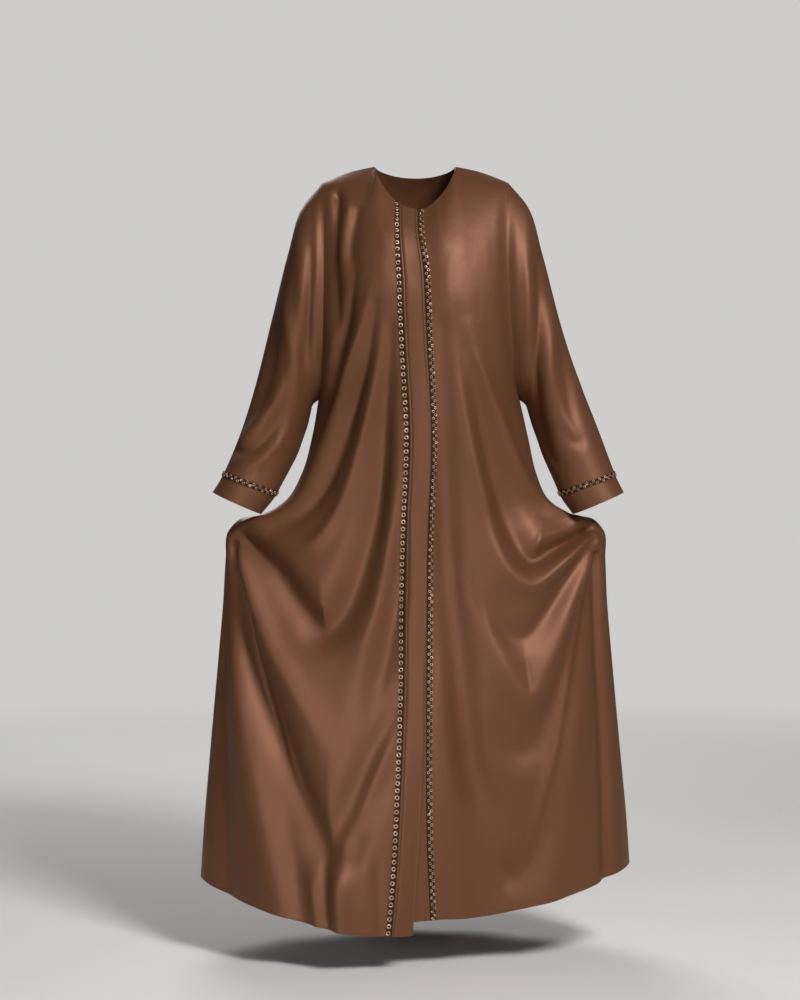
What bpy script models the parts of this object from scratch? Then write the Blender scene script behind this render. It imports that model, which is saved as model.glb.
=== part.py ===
# A long open cloak in brown satin, as it is worn, with the skirt held out at both sides.
# Metres, +Z up. The front faces -Y and +X is the wearer's left. The origin is the middle of
# the neck, level with the inner ends of the shoulder seams.
import math
from collections import namedtuple

import bpy
import numpy as np

# The cloth, its seams and what is sewn on it.
CLOTH_WALL = 0.0016
BAND_WALL = 0.0013
TRIM_WALL = 0.0010
SEAM_GAP = 0.0003
SLEEVE_GAP = 0.0008
PLACKET_WIDTH = 0.033
TRIM_WIDTH = 0.010
TRIM_FROM_EDGE = 0.037
UNDERLAP = 0.016
UNDERLAP_DEPTH = 0.0042
CUFF_LENGTH = 0.046

# The shoulders, the neck and the armholes.
NECK_HALF = 0.075
FRONT_NECK_DEPTH = 0.085
FRONT_NECK_Y = -0.075
BACK_NECK_DEPTH = 0.015
BACK_NECK_Y = 0.065
SHOULDER_X = 0.172
SHOULDER_Z = -0.030
UNDERARM_X = 0.186
UNDERARM_Z = -0.430
ARMHOLE_HALF = 0.085
FRONT_HOLLOW = 0.012
BACK_HOLLOW = 0.004

# Grid sizes.
ARMHOLE_STEPS = 12
FRONT_COLUMNS = 14
BACK_COLUMNS = 28
SLEEVE_STEPS = 13
FINE = 161

# The body level by level. row is about how many decimetres down the shoulder, armhole and side
# it meets the side: 4 is the underarm and 13.5 the hem. Rows sag from the sides to the middle.
# turn is the direction in which a row reaches its side, from +X towards the seam, and
# front_round and back_round are how far the section stays full before it meets the side.
BODY_COLUMNS = "row center_z front_y back_y side_x side_z turn front_round back_round"
BODY = (
    (4 / 3, -0.185, -0.124, 0.108, 0.170, -0.130, 24, 0.045, 0.045),
    (2.00, -0.255, -0.135, 0.116, 0.168, -0.230, 36, 0.045, 0.045),
    (3.00, -0.362, -0.141, 0.118, 0.176, -0.371, 64, 0.050, 0.045),
    (4.00, -0.462, -0.146, 0.118, 0.186, -0.430, 90, 0.070, 0.066),
    (4.70, -0.537, -0.150, 0.123, 0.2000, -0.500, 90, 0.070, 0.064),
    (5.40, -0.605, -0.154, 0.130, 0.2175, -0.567, 90, 0.066, 0.061),
    (5.90, -0.655, -0.157, 0.137, 0.240, -0.611, 90, 0.056, 0.054),
    (6.45, -0.703, -0.160, 0.143, 0.286, -0.641, 90, 0.044, 0.046),
    (6.90, -0.745, -0.163, 0.149, 0.330, -0.652, 90, 0.036, 0.040),
    (7.15, -0.772, -0.166, 0.153, 0.3475, -0.672, 90, 0.036, 0.040),
    (7.65, -0.822, -0.170, 0.159, 0.3515, -0.722, 90, 0.042, 0.048),
    (8.45, -0.900, -0.176, 0.170, 0.3555, -0.800, 90, 0.054, 0.062),
    (9.45, -0.998, -0.183, 0.184, 0.3640, -0.900, 90, 0.066, 0.076),
    (10.5, -1.100, -0.189, 0.199, 0.3735, -1.005, 90, 0.078, 0.090),
    (11.5, -1.195, -0.193, 0.213, 0.3825, -1.105, 90, 0.088, 0.102),
    (12.5, -1.292, -0.197, 0.227, 0.3915, -1.205, 90, 0.096, 0.112),
    (13.5, -1.385, -0.200, 0.240, 0.3980, -1.302, 90, 0.100, 0.120),
)
CHEST_ROW = 4 / 3
UNDERARM_ROW = 4.0
HEM_ROW = 13.5
# Rows of the grid below the underarm: how many steps reach each level. They are closest
# where the side turns down at the hand.
SKIRT_STEPS = ((7, 6.45), (6, 7.65), (15, HEM_ROW))

# Where the edge of the right front lies at each height, and how far past it the left front's
# trim starts. The two draw apart towards the hem.
OPENING_COLUMNS = "z edge_x trim_start"
OPENING = (
    (-1.385, -0.0060, 0.0320),
    (-1.290, 0.0020, 0.0195),
    (-1.147, 0.0100, 0.0085),
    (-1.040, 0.0142, 0.0045),
    (-0.930, 0.0170, 0.0025),
    (-0.780, 0.0182, 0.0022),
    (-0.470, 0.0178, 0.0022),
    (-0.270, 0.0150, 0.0022),
    (-0.190, 0.0120, 0.0022),
    (-0.140, 0.0040, 0.0022),
    (-0.085, 0.0020, 0.0022),
)

# The sleeve from the armhole, 0, to its end, 1, and the cuff up to 1.09.
SLEEVE_COLUMNS = "row outer_x outer_z inner_x inner_z front_y back_y"
SLEEVE = (
    (0.00, 0.172, -0.030, 0.186, -0.430, -0.085, 0.085),
    (0.10, 0.208, -0.074, 0.1960, -0.438, -0.083, 0.084),
    (0.25, 0.234, -0.158, 0.2015, -0.455, -0.079, 0.082),
    (0.45, 0.264, -0.276, 0.2075, -0.477, -0.073, 0.077),
    (0.65, 0.295, -0.386, 0.2165, -0.503, -0.070, 0.069),
    (0.82, 0.327, -0.480, 0.229, -0.538, -0.073, 0.050),
    (0.94, 0.350, -0.542, 0.249, -0.580, -0.076, 0.028),
    (1.00, 0.3615, -0.570, 0.262, -0.607, -0.078, 0.018),
    (1.09, 0.3760, -0.597, 0.284, -0.637, -0.080, 0.010),
)
SLEEVE_LENGTH = 0.47

# The largest folds. Heights and widths are in millimetres, a trough is negative, and the
# route is x, z as seen from the front or, for the back, through it.
Fold = namedtuple("Fold", "name height width route")
FRONT_FOLDS = (
    Fold("bust_right", 8, 50, ((-0.06, -0.16), (-0.06, -0.22))),
    Fold("bust_left", 7, 50, ((0.07, -0.17), (0.07, -0.23))),
    Fold("shoulder_trough", -7, 18, ((-0.145, -0.06), (-0.156, -0.16), (-0.152, -0.26), (-0.15, -0.34))),
    Fold("bust_trough", -10, 20, ((-0.105, -0.19), (-0.123, -0.285), (-0.15, -0.40), (-0.172, -0.50))),
    Fold(
        "waist_ridge",
        10,
        20,
        ((-0.08, -0.22), (-0.126, -0.384), (-0.178, -0.547), (-0.212, -0.61), (-0.31, -0.656)),
    ),
    Fold(
        "v_trough",
        -20,
        28,
        ((-0.05, -0.32), (-0.064, -0.55), (-0.116, -0.785), (-0.166, -0.848), (-0.21, -0.80), (-0.31, -0.69)),
    ),
    Fold("hand_ridge", 18, 32, ((-0.32, -0.70), (-0.296, -0.784), (-0.25, -0.89), (-0.15, -1.09))),
    Fold(
        "great_trough",
        -20,
        34,
        ((-0.32, -0.76), (-0.283, -0.944), (-0.236, -1.078), (-0.15, -1.238), (-0.08, -1.10), (-0.03, -0.92)),
    ),
    Fold("outer_ridge", 12, 40, ((-0.335, -0.80), (-0.323, -0.929), (-0.295, -1.12), (-0.225, -1.40))),
    Fold("knee_ridge", 12, 28, ((-0.03, -1.00), (-0.06, -1.074), (-0.103, -1.17), (-0.135, -1.38))),
    Fold("inner_ridge", 8, 26, ((-0.037, -0.468), (-0.046, -0.646), (-0.069, -0.789), (-0.114, -0.95))),
    Fold(
        "edge_ridge",
        10,
        20,
        ((0.10, -0.32), (0.159, -0.489), (0.197, -0.576), (0.245, -0.63), (0.31, -0.655)),
    ),
    Fold(
        "edge_swag",
        -16,
        24,
        ((0.10, -0.36), (0.146, -0.566), (0.177, -0.661), (0.215, -0.716), (0.31, -0.67)),
    ),
    Fold(
        "upper_ridge",
        12,
        22,
        ((0.075, -0.36), (0.115, -0.575), (0.153, -0.718), (0.205, -0.766), (0.31, -0.69)),
    ),
    Fold(
        "lower_ridge",
        14,
        26,
        ((0.11, -0.78), (0.154, -0.90), (0.204, -0.966), (0.252, -0.892), (0.32, -0.72)),
    ),
    Fold(
        "main_trough",
        -15,
        36,
        ((0.05, -0.32), (0.06, -0.698), (0.094, -1.041), (0.13, -1.193), (0.171, -1.29), (0.247, -1.14)),
    ),
    Fold(
        "third_swag",
        -10,
        28,
        ((0.138, -0.964), (0.176, -1.05), (0.22, -1.041), (0.268, -0.926), (0.32, -0.75)),
    ),
    Fold("thread_ridge", 6, 20, ((0.32, -0.75), (0.284, -0.889), (0.255, -1.042), (0.20, -1.26))),
    Fold("left_side_trough", -8, 22, ((0.334, -0.75), (0.336, -0.868), (0.346, -1.063), (0.354, -1.36))),
)
BACK_FOLDS = (
    Fold("shoulder_blade_left", 6, 60, ((0.08, -0.16), (0.08, -0.24))),
    Fold("shoulder_blade_right", 6, 60, ((-0.08, -0.16), (-0.08, -0.24))),
    Fold("middle_trough", -10, 32, ((0.01, -0.30), (-0.01, -0.60), (0.00, -0.95), (0.02, -1.40))),
    Fold("left_trough", -11, 28, ((0.10, -0.30), (0.14, -0.60), (0.16, -0.95), (0.19, -1.40))),
    Fold("right_trough", -11, 28, ((-0.10, -0.32), (-0.13, -0.62), (-0.15, -1.00), (-0.17, -1.40))),
    Fold("left_ridge", 9, 30, ((0.05, -0.45), (0.07, -0.80), (0.09, -1.10), (0.11, -1.40))),
    Fold("right_ridge", 9, 30, ((-0.05, -0.50), (-0.07, -0.85), (-0.08, -1.15), (-0.09, -1.40))),
    Fold("left_hand_ridge", 12, 26, ((0.32, -0.71), (0.27, -0.85), (0.24, -1.02), (0.26, -1.36))),
    Fold("right_hand_ridge", 12, 26, ((-0.32, -0.71), (-0.28, -0.84), (-0.25, -1.00), (-0.26, -1.36))),
    Fold("left_swag", -11, 24, ((0.13, -0.50), (0.19, -0.68), (0.24, -0.74), (0.32, -0.68))),
    Fold("right_swag", -11, 24, ((-0.12, -0.52), (-0.18, -0.70), (-0.24, -0.75), (-0.32, -0.68))),
    Fold("left_side_trough", -8, 24, ((0.325, -0.80), (0.31, -1.00), (0.33, -1.34))),
    Fold("right_side_trough", -8, 24, ((-0.325, -0.80), (-0.31, -1.00), (-0.33, -1.34))),
)
SLEEVE_FOLDS = (
    Fold("armhole_trough", -4, 24, ((0.184, -0.12), (0.186, -0.22), (0.194, -0.32), (0.206, -0.42))),
    Fold("arm_ridge", 5, 24, ((0.236, -0.19), (0.242, -0.28), (0.232, -0.36), (0.228, -0.44))),
    Fold("arm_trough", -3, 26, ((0.258, -0.25), (0.266, -0.34), (0.286, -0.43), (0.315, -0.475))),
    Fold("elbow_ridge", 5, 20, ((0.236, -0.39), (0.254, -0.432), (0.284, -0.47), (0.315, -0.505))),
    Fold("elbow_trough", -3, 18, ((0.24, -0.445), (0.263, -0.49), (0.296, -0.52), (0.335, -0.524))),
    Fold("wrist_ridge", 4, 20, ((0.234, -0.47), (0.254, -0.515), (0.29, -0.546), (0.34, -0.555))),
)

# How the right foot steps forward under the skirt, and the left side stays back.
STEP_FORWARD = 0.042
STEP_X = 0.105
STEP_WIDTH = 0.150
STEP_TOP = -0.90
STEP_BOTTOM = -1.38

# The wearer leans a little to the left at the waist, and the hem hangs unevenly.
LEAN = 0.009
LEAN_Z = -0.50
LEAN_SPREAD = 0.14
HEM_LIFT_LEFT = 0.016
HEM_DROP_RIGHT = 0.010
HEM_LIFT_EDGE = 0.008

CLOTH_COLOR = (0.150, 0.068, 0.036, 1.0)
TRIM_COLOR = (0.330, 0.150, 0.080, 1.0)


def clear_scene():
    for thing in list(bpy.data.objects):
        bpy.data.objects.remove(thing, do_unlink=True)


def ease(value, start, end):
    f = np.clip((value - start) / (end - start), 0.0, 1.0)
    return f * f * (3 - 2 * f)


def through(table, at):
    # Every column after the first at the given places, on a smooth cubic through the rows.
    table = np.array(table, float)
    place, value = table[:, 0], table[:, 1:]
    slope = np.gradient(value, place, axis=0)
    at = np.asarray(at, float)
    i = np.clip(np.searchsorted(place, at, side="right") - 1, 0, len(place) - 2)
    step = (place[i + 1] - place[i])[:, None]
    f = (at - place[i])[:, None] / step
    rise = value[i + 1] - value[i]
    cubic = f * f * (3 - 2 * f)
    ends = f * (1 - f) * ((1 - f) * slope[i] - f * slope[i + 1]) * step
    return value[i] + cubic * rise + ends


def columns_of(names, values):
    return dict(zip(names.split()[1:], values.T))


def bezier(first, second, third, last, at):
    at = at[..., None]
    rest = 1 - at
    return rest**3 * first + 3 * rest**2 * at * second + 3 * rest * at**2 * third + at**3 * last


def along(line, lengths):
    # Points at the given lengths along each row of a stack of lines.
    result = np.empty(lengths.shape + (3,))
    for i, points in enumerate(line):
        steps = np.linalg.norm(np.diff(points, axis=0), axis=1)
        at = np.concatenate([[0.0], np.cumsum(steps)])
        for axis in range(3):
            result[i, :, axis] = np.interp(lengths[i], at, points[:, axis])
    return result


def length_of(line):
    return np.linalg.norm(np.diff(line, axis=1), axis=2).sum(axis=1)


def armhole(row, facing):
    # The armhole's edge from the shoulder to the underarm, on the front or the back.
    share = row / UNDERARM_ROW
    turn = math.pi * share
    hollow = FRONT_HOLLOW if facing < 0 else BACK_HOLLOW
    x = SHOULDER_X + (UNDERARM_X - SHOULDER_X) * share - hollow * np.sin(turn)
    y = facing * ARMHOLE_HALF * np.sin(turn)
    z = (SHOULDER_Z + UNDERARM_Z) / 2 + (SHOULDER_Z - UNDERARM_Z) / 2 * np.cos(turn)
    return np.stack([x, y, z], axis=-1)


def body_rows():
    # Row numbers of the panels' grid, down the armhole and then down the side seam.
    rows = np.linspace(0, UNDERARM_ROW, ARMHOLE_STEPS + 1)
    for steps, level in SKIRT_STEPS:
        rows = np.concatenate([rows, np.linspace(rows[-1], level, steps + 1)[1:]])
    return rows


def half_ring(rows, facing):
    # Each row from the middle of the front or back to its left side, as a dense line.
    body = columns_of(BODY_COLUMNS, through(BODY, np.maximum(rows, CHEST_ROW)))
    y = body["front_y"] if facing < 0 else body["back_y"]
    handle = body["front_round"] if facing < 0 else body["back_round"]
    zero = np.zeros_like(y)
    middle = np.stack([zero, y, body["center_z"]], axis=1)
    side = np.stack([body["side_x"], zero, body["side_z"]], axis=1)
    upper = rows < UNDERARM_ROW
    side[upper] = armhole(rows[upper], facing)
    turn = np.radians(body["turn"])
    arrive = np.stack([np.cos(turn), -facing * np.sin(turn), zero], axis=1)
    across = np.stack([0.52 * side[:, 0], zero, zero], axis=1)
    at = np.linspace(0, 1, FINE)[None, :]
    return bezier(
        middle[:, None],
        (middle + across)[:, None],
        (side - handle[:, None] * arrive)[:, None],
        side[:, None],
        at,
    )


def top_edge(facing):
    # The neckline from the middle to the shoulder seam, then the seam to the shoulder.
    depth = FRONT_NECK_DEPTH if facing < 0 else BACK_NECK_DEPTH
    middle_y = FRONT_NECK_Y if facing < 0 else BACK_NECK_Y
    turn = np.linspace(0, math.pi / 2, FINE)
    neck = np.stack(
        [
            NECK_HALF * np.sin(turn),
            middle_y * np.cos(turn) ** 0.9,
            -depth * np.cos(turn) ** 1.6,
        ],
        axis=1,
    )
    f = np.linspace(0, 1, FINE)[1:, None]
    seam_start = np.array([NECK_HALF, 0.0, 0.0])
    seam_end = np.array([SHOULDER_X, 0.0, SHOULDER_Z])
    seam = seam_start + f * (seam_end - seam_start)
    seam[:, 2] += 0.004 * np.sin(math.pi * f[:, 0])
    return np.concatenate([neck, seam])


def body_half(rows, lengths, facing, side):
    # Points of the body at lengths from the middle line towards one side, for every row.
    # side is 1 for the wearer's left and -1 for the right. Negative lengths cross over.
    ring = half_ring(rows, facing)
    yoke = rows < CHEST_ROW - 1e-9
    top = top_edge(facing)
    reach = length_of(ring)
    full_top = np.linalg.norm(np.diff(top, axis=0), axis=1).sum()
    wanted = np.abs(lengths)
    points = along(ring, wanted)
    # The yoke: from the neckline and shoulder seam, over the shoulder, to the chest row.
    chest_row = half_ring(np.array([CHEST_ROW]), facing)
    below = half_ring(np.array([CHEST_ROW + 0.1]), facing)
    corner = np.linalg.norm(np.diff(top[:FINE], axis=0), axis=1).sum() / full_top
    column = np.abs(wanted[0] / reach[0] - corner).argmin()
    for i in np.flatnonzero(yoke):
        f = rows[i] / CHEST_ROW
        share = wanted[i] / reach[i]
        # One column ends exactly at the inner end of the shoulder seam.
        on_top = np.interp(share, [0, share[column], 1], [0, corner, 1])
        start = along(top[None], (on_top * full_top)[None])[0]
        end = along(chest_row, (share * length_of(chest_row))[None])[0]
        after = along(below, (share * length_of(below))[None])[0]
        leave = np.stack([0 * share, facing * (0.55 + 0.3 * share), -0.85 + 0.35 * share], axis=1)
        leave /= np.linalg.norm(leave, axis=1)[:, None]
        arrive = (after - end) / np.linalg.norm(after - end, axis=1)[:, None]
        hold = 0.38 * np.linalg.norm(end - start, axis=1)[:, None]
        at = np.full(len(share), f)
        points[i] = bezier(start, start + hold * leave, end - hold * arrive, end, at)
        edge_start = np.array([SHOULDER_X, 0.0, SHOULDER_Z])
        edge_end = chest_row[0, -1]
        edge_leave = np.array([0, facing * 0.85, -0.5]) / math.hypot(0.85, 0.5)
        edge_arrive = (below[0, -1] - edge_end) / np.linalg.norm(below[0, -1] - edge_end)
        hold = 0.38 * np.linalg.norm(edge_end - edge_start)
        edge = bezier(
            edge_start, edge_start + hold * edge_leave, edge_end - hold * edge_arrive, edge_end, at[:1]
        )[0]
        points[i] += np.clip(share, 0, 1)[:, None] ** 2 * (armhole(rows[i], facing) - edge)
    points[..., 0] *= np.where(lengths < 0, -side, side)
    return points


def normals_of(points, closed):
    # Unit normals of a grid of points. A closed grid's columns run round a tube.
    down = np.gradient(points, axis=0)
    if closed:
        across = np.roll(points, -1, axis=1) - np.roll(points, 1, axis=1)
    else:
        across = np.gradient(points, axis=1)
    normal = np.cross(down, across)
    return normal / np.linalg.norm(normal, axis=2)[..., None]


def smooth_route(route):
    route = np.array(route, float)
    if len(route) == 2:
        f = np.linspace(0, 1, 25)[:, None]
        return route[0] * (1 - f) + route[1] * f
    place = np.arange(len(route))
    table = np.column_stack([place, route])
    return through(table, np.linspace(0, len(route) - 1, 12 * len(route)))


def fold_height(x, z, folds):
    # The sum of the folds at each point: a soft ridge or trough that fades at its two ends.
    height = np.zeros_like(x)
    for fold in folds:
        line = smooth_route(fold.route)
        apart = (x[..., None] - line[:, 0]) ** 2 + (z[..., None] - line[:, 1]) ** 2
        nearest = apart.argmin(axis=-1)
        distance = np.sqrt(apart.min(axis=-1))
        place = nearest / (len(line) - 1)
        fade = 0.35 + 0.65 * np.sin(math.pi * np.clip(place, 0.0, 1.0)) ** 0.7
        height += 0.001 * fold.height * fade * np.exp(-((distance / (0.001 * fold.width)) ** 2))
    return height


def stepped(points, side):
    # The front moved by the step and the lean. The left front's hem stays lifted up to its free edge.
    x, y, z = points[..., 0], points[..., 1], points[..., 2]
    low = ease(z, STEP_TOP, STEP_BOTTOM) * ease(-y, 0.0, 0.12)
    forward = np.exp(-(((x + STEP_X) / STEP_WIDTH) ** 2)) - np.exp(-(((x - STEP_X) / STEP_WIDTH) ** 2))
    moved = points.copy()
    moved[..., 1] -= STEP_FORWARD * low * forward
    if side > 0:
        short = HEM_LIFT_LEFT * (1 - ease(x, -0.02, 0.12)) + HEM_LIFT_EDGE * (1 - ease(x, 0.02, 0.14))
        moved[..., 2] += ease(z, -1.00, -1.32) * short
    return leaned(moved)


def leaned(points):
    x, z = points[..., 0], points[..., 2]
    moved = points.copy()
    moved[..., 0] += LEAN * np.exp(-(((z - LEAN_Z) / LEAN_SPREAD) ** 2))
    low = ease(z, -1.00, -1.32)
    moved[..., 2] += low * (HEM_LIFT_LEFT * ease(x, -0.02, 0.12) - HEM_DROP_RIGHT * ease(-x, 0.22, 0.38))
    return moved


def free_share(points, rows, lengths, facing):
    # How far folds may lift each point: not at all along the armholes and the side seams.
    reach = length_of(half_ring(rows, facing))[:, None]
    return ease(np.abs(points[..., 1]), 0.003, 0.035) * ease(reach - np.abs(lengths), 0.002, 0.040)


def panel(rows, lengths, facing, side, folds, sink):
    # A body panel's outer points and its normals, with its folds. sink moves points inwards.
    points = body_half(rows, lengths, facing, side)
    normal = normals_of(points, False)
    normal *= np.sign((normal[..., 1] * facing).sum())
    free = free_share(points, rows, lengths, facing)
    rise = fold_height(points[..., 0], points[..., 2], folds) * free - sink
    points = stepped(points + rise[..., None] * normal, side)
    seam = facing * SEAM_GAP / 2
    points[..., 1] = np.minimum(points[..., 1], seam) if facing < 0 else np.maximum(points[..., 1], seam)
    normal = normals_of(points, False)
    normal *= np.sign((normal[..., 1] * facing).sum())
    return points, normal


# A face's corners in the other order, from the same first corner, so that it is split the same way.
TURNED = [0, 3, 2, 1]


def grid_faces(rows, columns, start, closed):
    row, column = np.meshgrid(np.arange(rows - 1), np.arange(columns - (not closed)), indexing="ij")
    after = (column + 1) % columns
    corners = [row * columns + column, row * columns + after]
    corners += [(row + 1) * columns + after, (row + 1) * columns + column]
    return start + np.stack(corners, axis=-1).reshape(-1, 4)


def wall_object(name, outer, inner, closed, material):
    # A closed wall between two grids of points, its faces turned to point outwards.
    rows, columns = outer.shape[:2]
    count = rows * columns
    faces = [grid_faces(rows, columns, 0, closed)]
    faces.append(grid_faces(rows, columns, count, closed)[:, TURNED])
    index = np.arange(count).reshape(rows, columns)
    if closed:
        loops = [np.append(index[0], index[0, 0])[::-1], np.append(index[-1], index[-1, 0])]
    else:
        rim = np.concatenate([index[0, :-1], index[:-1, -1], index[-1, :0:-1], index[:0:-1, 0]])
        loops = [np.append(rim, rim[0])[::-1]]
    for loop in loops:
        faces.append(np.stack([loop[:-1], loop[1:], loop[1:] + count, loop[:-1] + count], axis=1))
    faces = np.concatenate(faces)
    points = np.concatenate([outer.reshape(-1, 3), inner.reshape(-1, 3)])
    a, b, c, d = (points[faces[:, i]] for i in range(4))
    volume = (a * np.cross(b, c)).sum() + (a * np.cross(c, d)).sum()
    if volume < 0:
        faces = faces[:, TURNED]
    mesh = bpy.data.meshes.new(name)
    mesh.from_pydata(points.tolist(), [], faces.tolist())
    mesh.polygons.foreach_set("use_smooth", np.ones(len(faces), bool))
    mesh.set_sharp_from_angle(angle=math.radians(60))
    mesh.materials.append(material)
    mesh.update()
    bpy.context.scene.collection.objects.link(bpy.data.objects.new(name, mesh))


def inside_of(points, normal, wall, facing):
    inner = points - wall * normal
    if facing:
        seam = facing * SEAM_GAP / 2
        limit = np.minimum if facing < 0 else np.maximum
        inner[..., 1] = limit(inner[..., 1], seam)
    return inner


def principled(name, color, roughness, metallic):
    material = bpy.data.materials.new(name)
    material.use_nodes = True
    shader = material.node_tree.nodes["Principled BSDF"]
    shader.inputs["Base Color"].default_value = color
    shader.inputs["Roughness"].default_value = roughness
    shader.inputs["Metallic"].default_value = metallic
    return material


def opening_of(rows):
    # Each row's distance from the middle line to the opening's edge, and on to the left trim.
    body_z = columns_of(BODY_COLUMNS, through(BODY, np.maximum(rows, CHEST_ROW)))["center_z"]
    f = np.clip(rows / CHEST_ROW, 0, 1)
    center_z = -FRONT_NECK_DEPTH * (1 - f) + body_z * f
    opening = columns_of(OPENING_COLUMNS, through(OPENING, center_z))
    return opening["edge_x"][:, None], opening["trim_start"][:, None]


def front_lengths(rows, near):
    # Lengths from the middle line: first the given ones, then even ones to the side.
    reach = length_of(half_ring(rows, -1))
    f = np.linspace(0, 1, FRONT_COLUMNS + 1)[None, 1:]
    rest = near[:, -1:] * (1 - f) + reach[:, None] * f
    return np.concatenate([near, rest], axis=1)


def make_front_right(rows, materials):
    edge = opening_of(rows)[0]
    tape = [TRIM_FROM_EDGE, TRIM_FROM_EDGE + TRIM_WIDTH / 2, TRIM_FROM_EDGE + TRIM_WIDTH]
    lengths = front_lengths(rows, np.array([0.0, PLACKET_WIDTH / 2, PLACKET_WIDTH] + tape) - edge)
    points, normal = panel(rows, lengths, -1, -1, FRONT_FOLDS, 0.0)
    inner = inside_of(points, normal, CLOTH_WALL, -1)
    wall_object("front_right", points, inner, False, materials["cloth"])
    band, band_normal = points[:, :3], normal[:, :3]
    base = band + SEAM_GAP * band_normal
    wall_object("placket", base + BAND_WALL * band_normal, base, False, materials["band"])
    tape, tape_normal = points[:, 3:6], normal[:, 3:6]
    base = tape + SEAM_GAP * tape_normal
    wall_object("trim_front_right", base + TRIM_WALL * tape_normal, base, False, materials["trim"])


def make_front_left(rows, materials):
    edge, trim_start = opening_of(rows)
    under = edge + np.array([-UNDERLAP, -UNDERLAP / 3])
    tape = edge + trim_start + np.array([0.0, TRIM_WIDTH / 2, TRIM_WIDTH])
    lengths = front_lengths(rows, np.concatenate([under, tape], axis=1))
    from_edge = lengths - edge
    sink = UNDERLAP_DEPTH * (1 - ease(from_edge, 0.0, 0.05))
    points, normal = panel(rows, lengths, -1, 1, FRONT_FOLDS, sink)
    inner = inside_of(points, normal, CLOTH_WALL, -1)
    wall_object("front_left", points, inner, False, materials["cloth"])
    tape, tape_normal = points[:, 2:5], normal[:, 2:5]
    base = tape + SEAM_GAP * tape_normal
    wall_object("trim_front_left", base + TRIM_WALL * tape_normal, base, False, materials["trim"])


def make_back(rows, materials):
    reach = length_of(half_ring(rows, 1))[:, None]
    half = BACK_COLUMNS // 2
    share = np.sin(np.linspace(0, 0.5 * math.pi, half + 1) * 0.86) / math.sin(0.43 * math.pi)
    one_side = reach * share[None, :]
    left = body_half(rows, one_side, 1, 1)
    right = left[:, :0:-1] * np.array([-1, 1, 1])
    points = np.concatenate([right, left], axis=1)
    normal = normals_of(points, False)
    normal *= np.sign(normal[..., 1].sum())
    lengths = np.concatenate([one_side[:, :0:-1], one_side], axis=1)
    free = free_share(points, rows, lengths, 1)
    rise = fold_height(points[..., 0], points[..., 2], BACK_FOLDS) * free
    points = leaned(points + rise[..., None] * normal)
    points[..., 1] = np.maximum(points[..., 1], SEAM_GAP / 2)
    normal = normals_of(points, False)
    normal *= np.sign(normal[..., 1].sum())
    inner = inside_of(points, normal, CLOTH_WALL, 1)
    wall_object("back", points, inner, False, materials["cloth"])


def sleeve_points(rows, side):
    # Rings from the armhole to the wrist, each from the outer side over the front and round.
    sleeve = columns_of(SLEEVE_COLUMNS, through(SLEEVE, rows))
    turn = np.linspace(0, 2 * math.pi, 2 * ARMHOLE_STEPS, endpoint=False)
    outer = np.stack([sleeve["outer_x"], 0 * rows, sleeve["outer_z"]], axis=1)[:, None]
    inner = np.stack([sleeve["inner_x"], 0 * rows, sleeve["inner_z"]], axis=1)[:, None]
    middle_y = (sleeve["front_y"] + sleeve["back_y"]) / 2
    half_y = (sleeve["back_y"] - sleeve["front_y"]) / 2
    points = (outer + inner) / 2 + (outer - inner) / 2 * np.cos(turn)[None, :, None]
    points[..., 1] = middle_y[:, None] - half_y[:, None] * np.sin(turn)[None, :]
    # The first ring, at the armhole, takes the armhole's own shape, and the next ones follow.
    edge_rows = np.linspace(0, UNDERARM_ROW, ARMHOLE_STEPS + 1)
    front = armhole(edge_rows, -1)
    back = armhole(edge_rows, 1)
    edge = np.concatenate([front, back[-2:0:-1]])
    fade = (np.clip(1 - rows / 0.3, 0, 1) ** 2)[:, None, None]
    points = points + fade * (edge[None] - points[:1])
    points[..., 0] *= side
    return points


def make_sleeve(name, side, materials):
    tape = TRIM_WIDTH / SLEEVE_LENGTH
    rows = np.linspace(0, 1 - tape, SLEEVE_STEPS + 1)
    rows = np.concatenate([rows, [1 - tape / 2, 1.0]])
    cuff_end = 1 + CUFF_LENGTH / SLEEVE_LENGTH
    cuff_rows = np.array([1.0, (1 + cuff_end) / 2, cuff_end])
    every = np.concatenate([rows, cuff_rows[1:]])
    points = sleeve_points(every, side)
    normal = -side * normals_of(points, True)
    folds = [Fold(f.name, f.height, f.width, [(side * x, z) for x, z in f.route]) for f in SLEEVE_FOLDS]
    free = ease(every, 0.02, 0.12) * (1 - ease(every, 0.86, 0.97))
    low = ease(np.abs(points[..., 1] - points[..., 1].mean(axis=1)[:, None]), 0.01, 0.045)
    rise = fold_height(points[..., 0], points[..., 2], folds) * free[:, None] * low
    points = leaned(points + rise[..., None] * normal)
    normal = -side * normals_of(points, True)
    count = len(rows)
    inner = points - CLOTH_WALL * normal
    inner[0, :, 0] = side * np.maximum(side * inner[0, :, 0], side * points[0, :, 0])
    apart = np.zeros_like(points)
    apart[0, :, 0] = side * SLEEVE_GAP
    outer = points + apart
    inner = inner + apart
    wall_object("sleeve_" + name, outer[:count], inner[:count], True, materials["cloth"])
    tape_outer, tape_normal = outer[count - 3 : count], normal[count - 3 : count]
    base = tape_outer + SEAM_GAP * tape_normal
    wall_object("trim_cuff_" + name, base + TRIM_WALL * tape_normal, base, True, materials["trim"])
    # The cuff starts a seam's gap past the sleeve's end.
    cuff = points[count - 1 :].copy()
    cuff_inner = (points - CLOTH_WALL * normal)[count - 1 :].copy()
    past = (points[count] - points[count - 1]) / np.linalg.norm(
        points[count] - points[count - 1], axis=1
    )[:, None]
    cuff[0] += SEAM_GAP * past
    cuff_inner[0] += SEAM_GAP * past
    wall_object("cuff_" + name, cuff, cuff_inner, True, materials["band"])


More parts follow.
